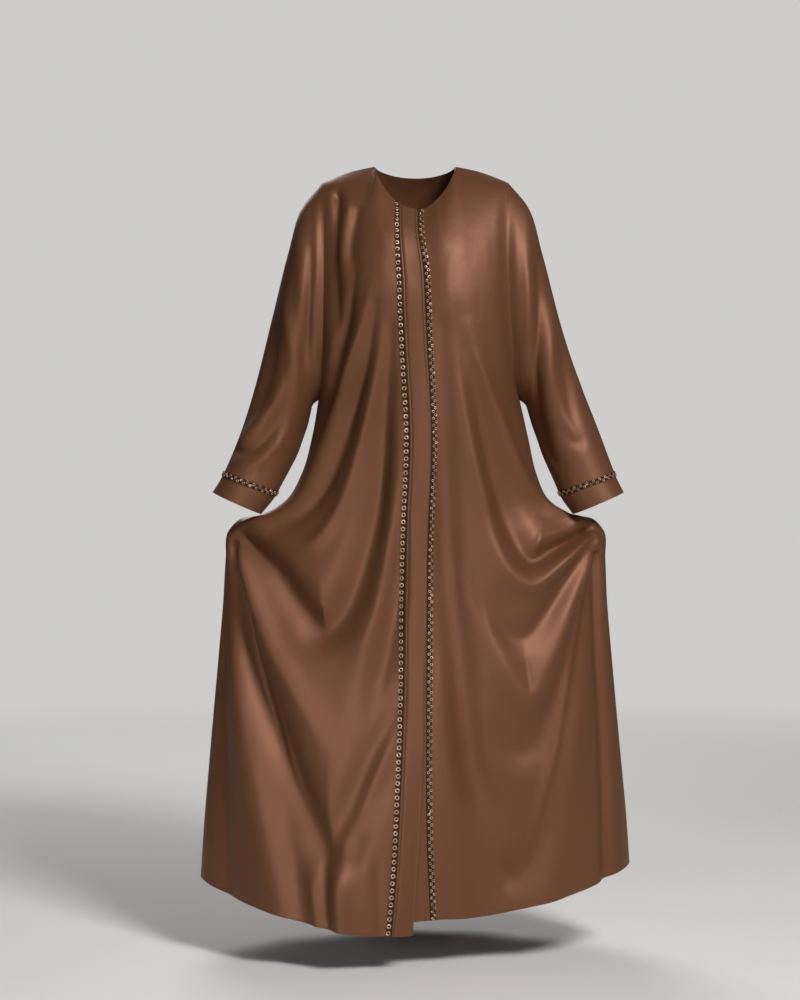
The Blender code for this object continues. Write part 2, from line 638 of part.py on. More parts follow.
def main():
    clear_scene()
    materials = {
        "cloth": principled("satin", CLOTH_COLOR, 0.42, 0.0),
        "band": principled("satin_band", CLOTH_COLOR, 0.42, 0.0),
        "trim": principled("bead_trim", TRIM_COLOR, 0.35, 0.8),
    }
    rows = body_rows()
    make_front_right(rows, materials)
    make_front_left(rows, materials)
    make_back(rows, materials)
    make_sleeve("left", 1, materials)
    make_sleeve("right", -1, materials)


main()
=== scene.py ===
import math

import bpy
import numpy as np
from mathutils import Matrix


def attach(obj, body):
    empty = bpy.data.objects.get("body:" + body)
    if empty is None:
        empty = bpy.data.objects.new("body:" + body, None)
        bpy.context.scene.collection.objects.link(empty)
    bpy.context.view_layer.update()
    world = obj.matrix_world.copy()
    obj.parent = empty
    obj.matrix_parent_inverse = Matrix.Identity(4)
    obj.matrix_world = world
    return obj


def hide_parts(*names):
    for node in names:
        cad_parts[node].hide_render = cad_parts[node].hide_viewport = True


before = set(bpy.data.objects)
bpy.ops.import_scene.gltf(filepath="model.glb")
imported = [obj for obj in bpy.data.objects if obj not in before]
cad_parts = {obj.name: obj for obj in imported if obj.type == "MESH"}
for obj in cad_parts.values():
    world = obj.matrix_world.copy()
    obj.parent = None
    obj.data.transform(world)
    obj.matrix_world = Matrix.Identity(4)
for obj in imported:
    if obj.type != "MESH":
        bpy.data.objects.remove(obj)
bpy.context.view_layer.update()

# The cut

cut = {
    "neckHalf": 0.075,
    "frontNeckDepth": 0.085,
    "frontNeckY": -0.075,
    "backNeckDepth": 0.015,
    "backNeckY": 0.065,
    "shoulderX": 0.172,
    "shoulderZ": -0.030,
    "underarmX": 0.186,
    "underarmZ": -0.430,
    "armholeHalf": 0.085,
    "frontHollow": 0.012,
    "backHollow": 0.004,
    "neckRound": (0.9, 1.6),  # powers that square the neckline, in depth and in height
    "seamArch": 0.004,
    "middleHandle": 0.52,  # how far a level runs straight across from its middle
    "chestRow": 4 / 3,
    "underarmRow": 4.0,
    "hemRow": 13.5,
    "underlap": 0.016,  # how far the left front runs under the right one
    "underlapDepth": 0.0042,
    "wall": 0.0012,
    "seamDip": {"frontRight": 0.011, "frontLeft": 0.007, "back": 0.004},
    "seamDipWidth": 0.017,
}

# Level by level: a row is about a decimetre down the side, and sags towards the middle.
bodyColumns = "row centerZ frontY backY sideX sideZ turn frontRound backRound"
bodyRows = (
    (4 / 3, -0.185, -0.124, 0.108, 0.170, -0.130, 24, 0.045, 0.045),
    (2.00, -0.255, -0.135, 0.116, 0.168, -0.230, 36, 0.045, 0.045),
    (3.00, -0.362, -0.141, 0.118, 0.176, -0.371, 64, 0.050, 0.045),
    (4.00, -0.462, -0.146, 0.118, 0.186, -0.430, 90, 0.070, 0.066),
    (4.70, -0.537, -0.150, 0.123, 0.2000, -0.500, 90, 0.070, 0.064),
    (5.40, -0.605, -0.154, 0.130, 0.2175, -0.567, 90, 0.066, 0.061),
    (5.90, -0.655, -0.157, 0.137, 0.240, -0.611, 90, 0.056, 0.054),
    (6.45, -0.703, -0.160, 0.143, 0.286, -0.641, 90, 0.044, 0.046),
    (6.90, -0.745, -0.163, 0.149, 0.330, -0.652, 90, 0.036, 0.040),
    (7.15, -0.772, -0.166, 0.153, 0.3475, -0.672, 90, 0.036, 0.040),
    (7.65, -0.822, -0.170, 0.159, 0.3515, -0.722, 90, 0.042, 0.048),
    (8.45, -0.900, -0.176, 0.170, 0.3555, -0.800, 90, 0.054, 0.062),
    (9.45, -0.998, -0.183, 0.184, 0.3640, -0.900, 90, 0.066, 0.076),
    (10.5, -1.100, -0.189, 0.199, 0.3735, -1.005, 90, 0.078, 0.090),
    (11.5, -1.195, -0.193, 0.213, 0.3825, -1.105, 90, 0.088, 0.102),
    (12.5, -1.292, -0.197, 0.227, 0.3915, -1.205, 90, 0.096, 0.112),
    (13.5, -1.385, -0.200, 0.240, 0.3980, -1.302, 90, 0.100, 0.120),
)

# The right front's edge at each height, and how far past it the left front's trim starts.
openingColumns = "z edgeX trimStart"
openingRows = (
    (-1.385, -0.0060, 0.0320), (-1.290, 0.0020, 0.0195), (-1.147, 0.0100, 0.0085),
    (-1.040, 0.0142, 0.0045), (-0.930, 0.0170, 0.0025), (-0.780, 0.0182, 0.0022),
    (-0.470, 0.0178, 0.0022), (-0.270, 0.0150, 0.0022), (-0.190, 0.0120, 0.0022),
    (-0.140, 0.0040, 0.0022), (-0.085, 0.0020, 0.0022),
)

# The sleeve from the armhole, 0, to its end, 1, and the cuff past it.
sleeveColumns = "row outerX outerZ innerX innerZ frontY backY"
sleeveRows = (
    (0.00, 0.172, -0.030, 0.186, -0.430, -0.085, 0.085),
    (0.10, 0.208, -0.074, 0.1960, -0.438, -0.083, 0.084),
    (0.25, 0.234, -0.158, 0.2015, -0.455, -0.079, 0.082),
    (0.45, 0.264, -0.276, 0.2075, -0.477, -0.073, 0.077),
    (0.65, 0.295, -0.386, 0.2165, -0.503, -0.070, 0.069),
    (0.82, 0.327, -0.480, 0.229, -0.538, -0.073, 0.050),
    (0.94, 0.350, -0.542, 0.249, -0.580, -0.076, 0.028),
    (1.00, 0.3615, -0.570, 0.262, -0.607, -0.078, 0.018),
    (1.09, 0.3760, -0.597, 0.284, -0.637, -0.080, 0.010),
)

# How the cloak hangs on this wearer: a foot forward, a lean, and an uneven hem. A pair of
# numbers is where a change starts and where it is whole.
stance = {
    "stepForward": 0.042,
    "stepX": 0.105,
    "stepWidth": 0.150,
    "stepZ": (-0.90, -1.38),
    "stepY": (0.0, 0.12),
    "lean": 0.009,
    "leanZ": -0.50,
    "leanSpread": 0.14,
    "hemZ": (-1.00, -1.32),
    "hemLiftLeft": 0.016,
    "liftX": (-0.02, 0.12),
    "hemLiftEdge": 0.008,  # how much higher still the left front's hem is beside the placket
    "edgeX": (0.02, 0.14),
    "hemDropRight": 0.010,
    "dropX": (0.22, 0.38),
}

# The yoke's curves, above the chest row: their handles as a share of the way between their
# ends, and how far out and down they leave the top edge, at the middle and at the armhole.
# It is smoothed in rounds, where each group of four starts, is whole, fades and ends.
yoke = {
    "handle": 0.38,
    "leaveOut": (0.55, 0.85),
    "leaveDown": (-0.85, -0.50),
    "rounds": 40,
    "acrossRows": (0.0, 0.35, 1.0, 1.6),
    "acrossX": (0.045, 0.065, 0.120, 0.145),
    "downRows": (0.25, 0.9, 1.8, 2.6),
    "armholeShare": (0.80, 0.97),
}


# Runs smoothly from 0 at start to 1 at end.
def ease(value, start, end):
    f = np.clip((value - start) / (end - start), 0.0, 1.0)
    return f * f * (3 - 2 * f)


# Rises from 0 at start to 1 at whole, and falls again between fade and end.
def within(value, start, whole, fade, end):
    return ease(value, start, whole) * (1 - ease(value, fade, end))


def bell(distance, width):
    return np.exp(-((distance / width) ** 2))


def unit(vectors):
    return vectors / np.linalg.norm(vectors, axis=-1, keepdims=True)


def running(steps):
    return np.concatenate([0 * steps[:1], np.cumsum(steps, axis=0)])


# Every column after the first, at the given places, on a cubic through the table's rows.
def through(table, at):
    table = np.array(table, float)
    place, value = table[:, 0], table[:, 1:]
    slope = np.gradient(value, place, axis=0)
    at = np.asarray(at, float)
    i = np.clip(np.searchsorted(place, at, side="right") - 1, 0, len(place) - 2)
    step = (place[i + 1] - place[i])[:, None]
    f = (at - place[i])[:, None] / step
    ends = f * (1 - f) * ((1 - f) * slope[i] - f * slope[i + 1]) * step
    return value[i] + f * f * (3 - 2 * f) * (value[i + 1] - value[i]) + ends


def named(names, values):
    return dict(zip(names.split()[1:], values.T))


# A cubic Bezier curve at the shares given.
def bezier(first, second, third, last, at):
    at = at[..., None]
    rest = 1 - at
    return rest**3 * first + 3 * rest**2 * at * second + 3 * rest * at**2 * third + at**3 * last


# Points at given lengths along each line of a stack of lines.
def alongLines(lines, lengths):
    result = np.empty(lengths.shape + (3,))
    for i, points in enumerate(lines):
        at = running(np.linalg.norm(np.diff(points, axis=0), axis=1))
        for axis in range(3):
            result[i, :, axis] = np.interp(lengths[i], at, points[:, axis])
    return result


def lineLengths(lines):
    return np.linalg.norm(np.diff(lines, axis=1), axis=2).sum(axis=1)


# The armhole is half an ellipse from the shoulder to the underarm, hollowed towards the chest.
def armholeEdge(row, facing):
    share = row / cut["underarmRow"]
    turn = math.pi * share
    hollow = cut["frontHollow"] if facing < 0 else cut["backHollow"]
    x = cut["shoulderX"] + (cut["underarmX"] - cut["shoulderX"]) * share - hollow * np.sin(turn)
    y = facing * cut["armholeHalf"] * np.sin(turn)
    top, low = cut["shoulderZ"], cut["underarmZ"]
    return np.stack([x, y, (top + low) / 2 + (top - low) / 2 * np.cos(turn)], axis=-1)


# Half of a level: a Bezier curve from the middle of the front or back round to the side.
def halfRing(rows, facing, fine=241):
    body = named(bodyColumns, through(bodyRows, np.maximum(rows, cut["chestRow"])))
    y = body["frontY"] if facing < 0 else body["backY"]
    handle = body["frontRound"] if facing < 0 else body["backRound"]
    zero = np.zeros_like(y)
    middle = np.stack([zero, y, body["centerZ"]], axis=1)
    side = np.stack([body["sideX"], zero, body["sideZ"]], axis=1)
    upper = rows < cut["underarmRow"]
    side[upper] = armholeEdge(rows[upper], facing)
    turn = np.radians(body["turn"])
    arrive = np.stack([np.cos(turn), -facing * np.sin(turn), zero], axis=1)
    across = np.stack([cut["middleHandle"] * side[:, 0], zero, zero], axis=1)
    ends = middle, middle + across, side - handle[:, None] * arrive, side
    return bezier(*(end[:, None] for end in ends), np.linspace(0, 1, fine)[None, :])


# The neckline from the middle to the shoulder seam, then the seam out to the shoulder.
def topEdge(facing, fine=161):
    depth = cut["frontNeckDepth"] if facing < 0 else cut["backNeckDepth"]
    middleY = cut["frontNeckY"] if facing < 0 else cut["backNeckY"]
    turn = np.linspace(0, math.pi / 2, fine)
    y, z = (size * np.cos(turn) ** power for size, power in zip((middleY, -depth), cut["neckRound"]))
    neck = np.stack([cut["neckHalf"] * np.sin(turn), y, z], axis=1)
    f = np.linspace(0, 1, fine)[1:, None]
    start = np.array([cut["neckHalf"], 0.0, 0.0])
    seam = start + f * (np.array([cut["shoulderX"], 0.0, cut["shoulderZ"]]) - start)
    seam[:, 2] += cut["seamArch"] * np.sin(math.pi * f[:, 0])
    return neck, np.concatenate([neck, seam])


# The yoke is smoothed across, where it runs down from the corner of neckline and shoulder
# seam, and down, where it meets the level curves. Its edges stay.
def smoothYoke(points, rows, share):
    across = within(rows, *yoke["acrossRows"])[:, None, None]
    down = within(rows, *yoke["downRows"])[1:-1, None, None]
    down = down * (1 - ease(share, *yoke["armholeShare"]))[1:-1, :, None]
    for _ in range(yoke["rounds"]):
        soft = 0.5 * across * within(np.abs(points[:, 1:-1, :1]), *yoke["acrossX"])
        points[:, 1:-1] += soft * ((points[:, :-2] + points[:, 2:]) / 2 - points[:, 1:-1])
        points[1:-1] += 0.5 * down * ((points[:-2] + points[2:]) / 2 - points[1:-1])


# The body at lengths from its middle line: level curves, and above the chest row a yoke of
# Bezier curves from the neckline and shoulder seam, pulled onto the armhole at its side.
def bodyHalf(rows, lengths, facing, side):
    ring = halfRing(rows, facing)
    neck, top = topEdge(facing)
    reach = lineLengths(ring)
    fullTop = lineLengths(top[None])[0]
    wanted = np.abs(lengths)
    points = alongLines(ring, wanted)
    chest = halfRing(np.array([cut["chestRow"]]), facing)
    below = halfRing(np.array([cut["chestRow"] + 0.1]), facing)
    corner = lineLengths(neck[None])[0] / fullTop
    column = np.abs(wanted[0] / reach[0] - corner).argmin()
    for i in np.flatnonzero(rows < cut["chestRow"] - 1e-9):
        share = wanted[i] / reach[i]
        onTop = np.interp(share, [0, share[column], 1], [0, corner, 1])
        start = alongLines(top[None], (onTop * fullTop)[None])[0]
        end = alongLines(chest, (share * lineLengths(chest))[None])[0]
        after = alongLines(below, (share * lineLengths(below))[None])[0]
        out, drop = (np.interp(share, [0, 1], yoke[key]) for key in ("leaveOut", "leaveDown"))
        leave = unit(np.stack([0 * share, facing * out, drop], axis=1))
        hold = yoke["handle"] * np.linalg.norm(end - start, axis=1)[:, None]
        at = np.full(len(share), rows[i] / cut["chestRow"])
        curve = bezier(start, start + hold * leave, end - hold * unit(after - end), end, at)
        pull = np.clip(share, 0, 1)[:, None] ** 2
        points[i] = curve + pull * (armholeEdge(rows[i], facing) - curve[-1])
    smoothYoke(points, rows, wanted / reach[:, None])
    points[..., 0] *= np.where(lengths < 0, -side, side)
    return points


# Unit normals of a grid, from the cross product of its two directions.
def gridNormals(points, closed=False):
    down = np.gradient(points, axis=0)
    if closed:
        across = np.roll(points, -1, axis=1) - np.roll(points, 1, axis=1)
    else:
        across = np.gradient(points, axis=1)
    return unit(np.cross(down, across))


def outwardNormals(points, facing):
    normal = gridNormals(points)
    return normal * np.sign((facing * normal[..., 1]).sum())


def leaned(points):
    x, z = points[..., 0], points[..., 2]
    moved = points.copy()
    moved[..., 0] += stance["lean"] * bell(z - stance["leanZ"], stance["leanSpread"])
    lift = stance["hemLiftLeft"] * ease(x, *stance["liftX"])
    lift -= stance["hemDropRight"] * ease(-x, *stance["dropX"])
    moved[..., 2] += ease(z, *stance["hemZ"]) * lift
    return moved


# The fronts follow the foot that steps forward, and the left one's hem is shorter at its edge.
def stepped(points, side):
    x, y, z = points[..., 0], points[..., 1], points[..., 2]
    low = ease(z, *stance["stepZ"]) * ease(-y, *stance["stepY"])
    ahead, behind = (bell(x + way * stance["stepX"], stance["stepWidth"]) for way in (1, -1))
    moved = points.copy()
    moved[..., 1] -= stance["stepForward"] * low * (ahead - behind)
    if side > 0:
        short = stance["hemLiftLeft"] * (1 - ease(x, *stance["liftX"]))
        short += stance["hemLiftEdge"] * (1 - ease(x, *stance["edgeX"]))
        moved[..., 2] += ease(z, *stance["hemZ"]) * short
    return leaned(moved)


# Folds

# Each fold is a ridge, or a trough where its height is negative, along a route seen from the
# front, all in millimetres: its height, its widths at the start, middle and end, and its points.
# open says which ends run on at full height: s the start, e the end. crisp 1 is a sharp crest and
# 0 a round one. The columns are name, height, widths, crisp, open and route.
frontFolds = (
    ("bustRight", 8, (50, 50, 50), 0, "se", ((-60, -160), (-60, -220))),
    ("bustLeft", 5, (50, 50, 50), 0, "se", ((70, -170), (70, -230))),
    ("shoulderTrough", -13, (12, 17, 20), 0.1, "s", (
        (-145, -60), (-156, -160), (-152, -260), (-150, -340))),
    ("shoulderRidge", 3.5, (8, 10, 12), 0.3, "s", ((-122, -80), (-132, -140), (-134, -220))),
    ("collarTrough", -4, (8, 10, 12), 0.2, "s", ((-104, -90), (-114, -150), (-113, -220))),
    ("bustTrough", -14, (9, 14, 16), 0.2, "", (
        (-105, -190), (-123, -285), (-143, -353), (-155, -418), (-172, -500))),
    ("bustRidge", 11, (9, 14, 17), 0.3, "e", (
        (-80, -223), (-100, -302), (-126, -384), (-150, -466), (-178, -547), (-212, -611),
        (-265, -650), (-318, -656))),
    ("waistTrough", -15, (9, 15, 12), 0.2, "", (
        (-71, -260), (-89, -361), (-114, -441), (-135, -513), (-168, -590), (-207, -640),
        (-270, -672))),
    ("waistRidge", 11, (10, 15, 12), 0.3, "", (
        (-57, -300), (-78, -423), (-103, -530), (-139, -630), (-185, -690), (-255, -695))),
    ("vTrough", -26, (12, 33, 20), 0.1, "e", (
        (-46, -300), (-55, -432), (-64, -557), (-80, -664), (-116, -785), (-166, -848), (-211, -805),
        (-262, -735), (-322, -682))),
    ("handRidge", 22, (10, 25, 38), 0.3, "s", (
        (-328, -687), (-296, -784), (-253, -889), (-200, -985), (-150, -1095))),
    ("greatTrough", -29, (10, 38, 30), 0.1, "s", (
        (-336, -700), (-316, -811), (-283, -944), (-236, -1078), (-188, -1192), (-150, -1238),
        (-117, -1182), (-79, -1097), (-42, -1001), (-26, -906))),
    ("threadRight", 6, (6, 6, 7), 0.5, "s", ((-286, -859), (-259, -973), (-231, -1078), (-202, -1163))),
    ("outerRidge", 15, (16, 34, 48), 0.1, "e", (
        (-340, -747), (-323, -929), (-295, -1121), (-261, -1275), (-223, -1429))),
    ("sideTrough", -9, (12, 18, 22), 0.1, "e", (
        (-346, -780), (-352, -940), (-354, -1120), (-346, -1340))),
    ("kneeRidge", 18, (14, 24, 20), 0.3, "e", (
        (-25, -989), (-60, -1074), (-103, -1168), (-135, -1250), (-134, -1420))),
    ("shinTrough", -11, (9, 12, 14), 0.4, "e", ((-166, -1235), (-159, -1314), (-144, -1420))),
    ("shinPleat", 7, (8, 9, 10), 0.4, "e", ((-186, -1270), (-180, -1340), (-166, -1430))),
    ("innerRidge", 9, (16, 22, 22), 0.2, "", ((-37, -468), (-46, -646), (-69, -789), (-114, -950))),
    ("kneeTrough", -13, (14, 22, 22), 0.1, "", ((-24, -610), (-32, -753), (-56, -895), (-99, -1038))),
    ("footTrough", -7, (9, 12, 12), 0.3, "e", ((-72, -1225), (-66, -1310), (-60, -1420))),
    ("lowTrough", -10, (16, 22, 26), 0.1, "e", ((-262, -1100), (-222, -1250), (-190, -1420))),
    ("edgeRidge", 12, (16, 14, 9), 0.3, "e", (
        (96, -300), (116, -374), (159, -489), (197, -576), (245, -631), (312, -655))),
    ("edgeSwag", -22, (18, 27, 10), 0.1, "e", (
        (94, -340), (120, -470), (146, -566), (177, -661), (215, -716), (258, -698), (318, -668))),
    ("upperRidge", 14, (16, 25, 10), 0.3, "e", (
        (70, -340), (86, -440), (115, -575), (153, -718), (205, -766), (258, -732), (322, -678))),
    ("secondTrough", -9, (16, 24, 10), 0.1, "e", (
        (108, -720), (150, -832), (197, -858), (248, -804), (324, -688))),
    ("lowerRidge", 14, (20, 34, 12), 0.3, "e", (
        (110, -780), (154, -900), (204, -966), (252, -892), (294, -778), (330, -694))),
    ("mainTrough", -25, (18, 36, 26), 0.1, "", (
        (50, -300), (54, -527), (60, -698), (72, -860), (94, -1041), (120, -1160), (152, -1270))),
    ("mainTroughWing", -9, (24, 30, 30), 0, "", (
        (140, -1240), (178, -1290), (218, -1240), (255, -1120))),
    ("thirdSwag", -10, (26, 36, 12), 0.1, "e", (
        (138, -964), (176, -1050), (220, -1041), (268, -926), (328, -712))),
    ("threadLeft", 6, (5, 8, 10), 0.5, "s", (
        (332, -708), (307, -770), (284, -889), (255, -1042), (221, -1176), (198, -1272))),
    ("leftPlacketRidge", 8, (18, 24, 26), 0.1, "e", (
        (46, -800), (50, -1001), (64, -1192), (90, -1430))),
    ("leftSideTrough", -13, (8, 11, 13), 0.2, "se", (
        (334, -712), (336, -868), (346, -1063), (354, -1400))),
    ("lowRidge", 7, (26, 30, 24), 0.1, "s", ((236, -1420), (250, -1260), (278, -1100), (303, -947))),
    ("fineWaist", -3, (8, 8, 8), 0.3, "", ((94, -720), (104, -780), (122, -830))),
)
backFolds = (
    ("bladeLeft", 6, (60, 60, 60), 0, "se", ((80, -160), (80, -240))),
    ("bladeRight", 6, (60, 60, 60), 0, "se", ((-80, -160), (-80, -240))),
    ("middleTrough", -12, (20, 30, 38), 0.1, "e", ((10, -280), (-10, -600), (0, -950), (20, -1420))),
    ("leftTrough", -14, (16, 26, 34), 0.2, "e", ((100, -280), (140, -600), (160, -950), (190, -1420))),
    ("rightTrough", -13, (16, 26, 34), 0.2, "e", (
        (-100, -320), (-130, -620), (-150, -1000), (-170, -1420))),
    ("leftRidge", 12, (14, 24, 32), 0.2, "e", ((50, -420), (70, -800), (90, -1100), (110, -1420))),
    ("rightRidge", 11, (16, 25, 34), 0.2, "e", ((-50, -480), (-70, -850), (-80, -1150), (-90, -1420))),
    ("leftHandRidge", 12, (14, 26, 36), 0.2, "e", (
        (322, -710), (270, -850), (240, -1020), (260, -1420))),
    ("rightHandRidge", 11, (14, 26, 36), 0.2, "e", (
        (-322, -710), (-280, -840), (-250, -1000), (-260, -1420))),
    ("leftSwag", -13, (15, 22, 14), 0.1, "", ((130, -480), (190, -680), (240, -740), (325, -680))),
    ("rightSwag", -13, (15, 22, 14), 0.1, "", ((-120, -500), (-180, -700), (-240, -750), (-325, -680))),
    ("leftSwagRidge", 8, (14, 18, 12), 0.2, "", ((120, -580), (170, -760), (225, -810), (325, -700))),
    ("rightSwagRidge", 7, (14, 18, 12), 0.2, "", (
        (-110, -600), (-165, -770), (-225, -830), (-325, -700))),
    ("leftDeepSwag", -9, (18, 38, 26), 0, "s", (
        (325, -740), (285, -950), (200, -1100), (130, -1030), (100, -900))),
    ("rightDeepSwag", -8, (18, 40, 26), 0, "s", (
        (-325, -740), (-290, -930), (-210, -1070), (-130, -1010), (-100, -880))),
    ("leftSideTroughBack", -9, (12, 20, 26), 0.1, "se", ((335, -760), (310, -1000), (330, -1420))),
    ("rightSideTroughBack", -9, (12, 20, 26), 0.1, "se", ((-335, -760), (-310, -1000), (-330, -1420))),
    ("yokeTrough", -3, (20, 25, 30), 0, "", ((-130, -200), (0, -230), (130, -200))),
    ("leftWaistFold", 6, (12, 13, 14), 0.3, "", ((165, -330), (130, -460), (110, -600))),
    ("rightWaistFold", 6, (12, 13, 14), 0.3, "", ((-165, -340), (-135, -470), (-110, -620))),
)
# For the right sleeve, seen from the front with its outer side towards +X, then the left one.
rightSleeveFolds = (
    ("capBand", 3, (12, 15, 16), 0.2, "s", ((200, -70), (220, -150), (230, -232))),
    ("armholeTrough", -11, (10, 15, 15), 0.1, "", ((184, -90), (185, -200), (192, -300), (206, -420))),
    ("innerCrest", 2, (9, 11, 11), 0.2, "", ((214, -105), (207, -165), (206, -225), (206, -310))),
    ("armCrest", 5, (10, 13, 14), 0.2, "", (
        (234, -190), (235, -265), (226, -335), (217, -400), (222, -460))),
    ("armTrough", -8, (12, 17, 14), 0.1, "", (
        (256, -250), (262, -330), (272, -390), (290, -440), (318, -475))),
    ("cuffRidgeA", 6, (11, 13, 12), 0.2, "s", ((318, -508), (284, -470), (254, -432), (236, -385))),
    ("cuffTrough", -7, (10, 13, 12), 0.1, "s", ((338, -524), (296, -520), (263, -490), (240, -440))),
    ("cuffRidgeB", 5, (11, 13, 12), 0.2, "s", ((344, -556), (290, -546), (254, -515), (230, -468))),
    ("outerRidge", 5, (14, 16, 14), 0.1, "", ((276, -280), (300, -380), (325, -450))),
)
leftSleeveFolds = (
    ("capRidge", 3, (12, 15, 16), 0.2, "s", ((196, -70), (212, -130), (214, -190))),
    ("innerRidge", 3, (8, 10, 11), 0.2, "", ((199, -140), (204, -220), (203, -300), (205, -380))),
    ("longTrough", -9, (9, 13, 12), 0.2, "", (
        (212, -115), (226, -203), (227, -299), (217, -382), (224, -471), (245, -535), (270, -553))),
    ("armCrest", 5, (12, 15, 15), 0.2, "", ((238, -165), (249, -286), (247, -382), (252, -460))),
    ("outerTrough", -6, (12, 15, 12), 0.1, "", ((262, -270), (272, -360), (284, -440), (300, -500))),
    ("outerBand", 5, (16, 20, 17), 0.1, "", ((268, -246), (294, -370), (320, -445))),
    ("cuffTrough", -3, (10, 12, 12), 0.2, "", ((292, -478), (298, -508), (280, -500), (262, -470))),
)
foldForm = {
    "reach": 3.5,  # how many widths away a fold still counts
    "endShare": 0.12,  # what is left of its height at an end that doesn't run on
    "endFade": (-0.02, 0.35),
    "crestRound": 0.2,
    "crestFall": 1.1,
}


# A route's points joined by a smooth curve, evenly sampled by number.
def smoothRoute(route):
    route = 0.001 * np.array(route, float)
    if len(route) == 2:
        f = np.linspace(0, 1, 30)[:, None]
        return route[0] * (1 - f) + route[1] * f
    table = np.column_stack([np.arange(len(route)), route])
    return through(table, np.linspace(0, len(route) - 1, 14 * len(route)))


# Sum of folds: height times a bell of the distance to the route's line over its width there.
def foldHeight(x, z, folds, mirror=1):
    height = np.zeros_like(x)
    for name, rise, widths, crisp, openEnds, route in folds:
        line = smoothRoute(route) * np.array([mirror, 1])
        wide = 0.001 * max(widths) * foldForm["reach"]
        low, high = line.min(axis=0) - wide, line.max(axis=0) + wide
        near = (x > low[0]) & (x < high[0]) & (z > low[1]) & (z < high[1])
        if not near.any():
            continue
        step = np.diff(line, axis=0)
        fromX, fromZ = x[near][:, None] - line[:-1, 0], z[near][:, None] - line[:-1, 1]
        part = np.clip((fromX * step[:, 0] + fromZ * step[:, 1]) / (step**2).sum(axis=1), 0, 1)
        apart = (fromX - part * step[:, 0]) ** 2 + (fromZ - part * step[:, 1]) ** 2
        nearest = apart.argmin(axis=1)
        pick = np.arange(len(nearest)), nearest
        place = (nearest + part[pick]) / len(step)
        fade = 1.0
        for end, fromEnd in (("s", place), ("e", 1 - place)):
            if end not in openEnds:
                left = foldForm["endShare"]
                fade = fade * (left + (1 - left) * ease(fromEnd, *foldForm["endFade"]))
        ratio = np.sqrt(apart[pick]) / (0.001 * np.interp(place, [0, 0.5, 1], widths))
        crest = np.sqrt(ratio**2 + foldForm["crestRound"] ** 2) - foldForm["crestRound"]
        form = (1 - crisp) * bell(ratio, 1) + crisp * np.exp(-foldForm["crestFall"] * crest)
        height[near] += 0.001 * rise * fade * form
    return height


# Value noise: random heights on a lattice, joined smoothly.
def softNoise(x, z, sizeX, sizeZ, seed):
    lattice = np.random.default_rng(seed).uniform(-1, 1, (64, 64))
    u, v = x / sizeX + 1000.0, z / sizeZ + 1000.0
    i, j = np.floor(u).astype(int), np.floor(v).astype(int)
    a, b = ease(u - i, 0, 1), ease(v - j, 0, 1)
    corner = lambda p, q: lattice[(i + p) % 64, (j + q) % 64]
    upper = corner(0, 0) * (1 - a) + corner(1, 0) * a
    lower = corner(0, 1) * (1 - a) + corner(1, 1) * a
    return upper * (1 - b) + lower * b


# Meshes

def gridFaces(rows, columns, start, closed):
    row, column = np.meshgrid(np.arange(rows - 1), np.arange(columns - (not closed)), indexing="ij")
    after = (column + 1) % columns
    corners = [row * columns + column, row * columns + after]
    corners += [(row + 1) * columns + after, (row + 1) * columns + column]
    return start + np.stack(corners, axis=-1).reshape(-1, 4)


def makeObject(name, points, faces, material, smooth=True):
    mesh = bpy.data.meshes.new(name)
    mesh.vertices.add(len(points))
    mesh.vertices.foreach_set("co", points.astype(np.float32).ravel())
    sides = faces.shape[1]
    mesh.loops.add(faces.size)
    mesh.loops.foreach_set("vertex_index", faces.astype(np.int32).ravel())
    mesh.polygons.add(len(faces))
    mesh.polygons.foreach_set("loop_start", np.arange(0, faces.size, sides, dtype=np.int32))
    mesh.update(calc_edges=True)
    mesh.polygons.foreach_set("use_smooth", np.full(len(faces), smooth))
    mesh.materials.append(material)
    mesh.update()
    thing = bpy.data.objects.new(name, mesh)
    bpy.context.scene.collection.objects.link(thing)
    return thing


# A closed wall between an outer and an inner grid, with its cloth coordinates in metres.
def makeWall(name, outer, inner, cloth, closed, material):
    rows, columns = outer.shape[:2]
    count = rows * columns
    turned = [0, 3, 2, 1]
    index = np.arange(count).reshape(rows, columns)
    if closed:
        loops = [np.append(index[0], index[0, 0])[::-1], np.append(index[-1], index[-1, 0])]
    else:
        rim = np.concatenate([index[0, :-1], index[:-1, -1], index[-1, :0:-1], index[:0:-1, 0]])
        loops = [np.append(rim, rim[0])[::-1]]
    faces = [gridFaces(rows, columns, 0, closed), gridFaces(rows, columns, count, closed)[:, turned]]
    for loop in loops:
        faces.append(np.stack([loop[:-1], loop[1:], loop[1:] + count, loop[:-1] + count], axis=1))
    faces = np.concatenate(faces)
    points = np.concatenate([outer.reshape(-1, 3), inner.reshape(-1, 3)])
    a, b, c, d = (points[faces[:, i]] for i in range(4))
    if (a * np.cross(b, c)).sum() + (a * np.cross(c, d)).sum() < 0:
        faces = faces[:, turned]
    thing = makeObject(name, points, faces, material)
    thing.data.set_sharp_from_angle(angle=math.radians(55))
    flat = np.concatenate([cloth.reshape(-1, 2)] * 2)[faces.ravel()]
    if closed:  # the strip that closes the tube keeps its own end of the map
        width = cloth[..., 0].max() * columns / (columns - 1)
        flat = flat.reshape(-1, 4, 2)
        wraps = np.ptp(flat[..., 0], axis=1) > width / 2
        part = flat[wraps]
        part[..., 0] = np.where(part[..., 0] < width / 2, part[..., 0] + width, part[..., 0])
        flat[wraps] = part
    layer = thing.data.uv_layers.new(name="cloth")
    layer.data.foreach_set("uv", flat.astype(np.float32).ravel())
    return thing


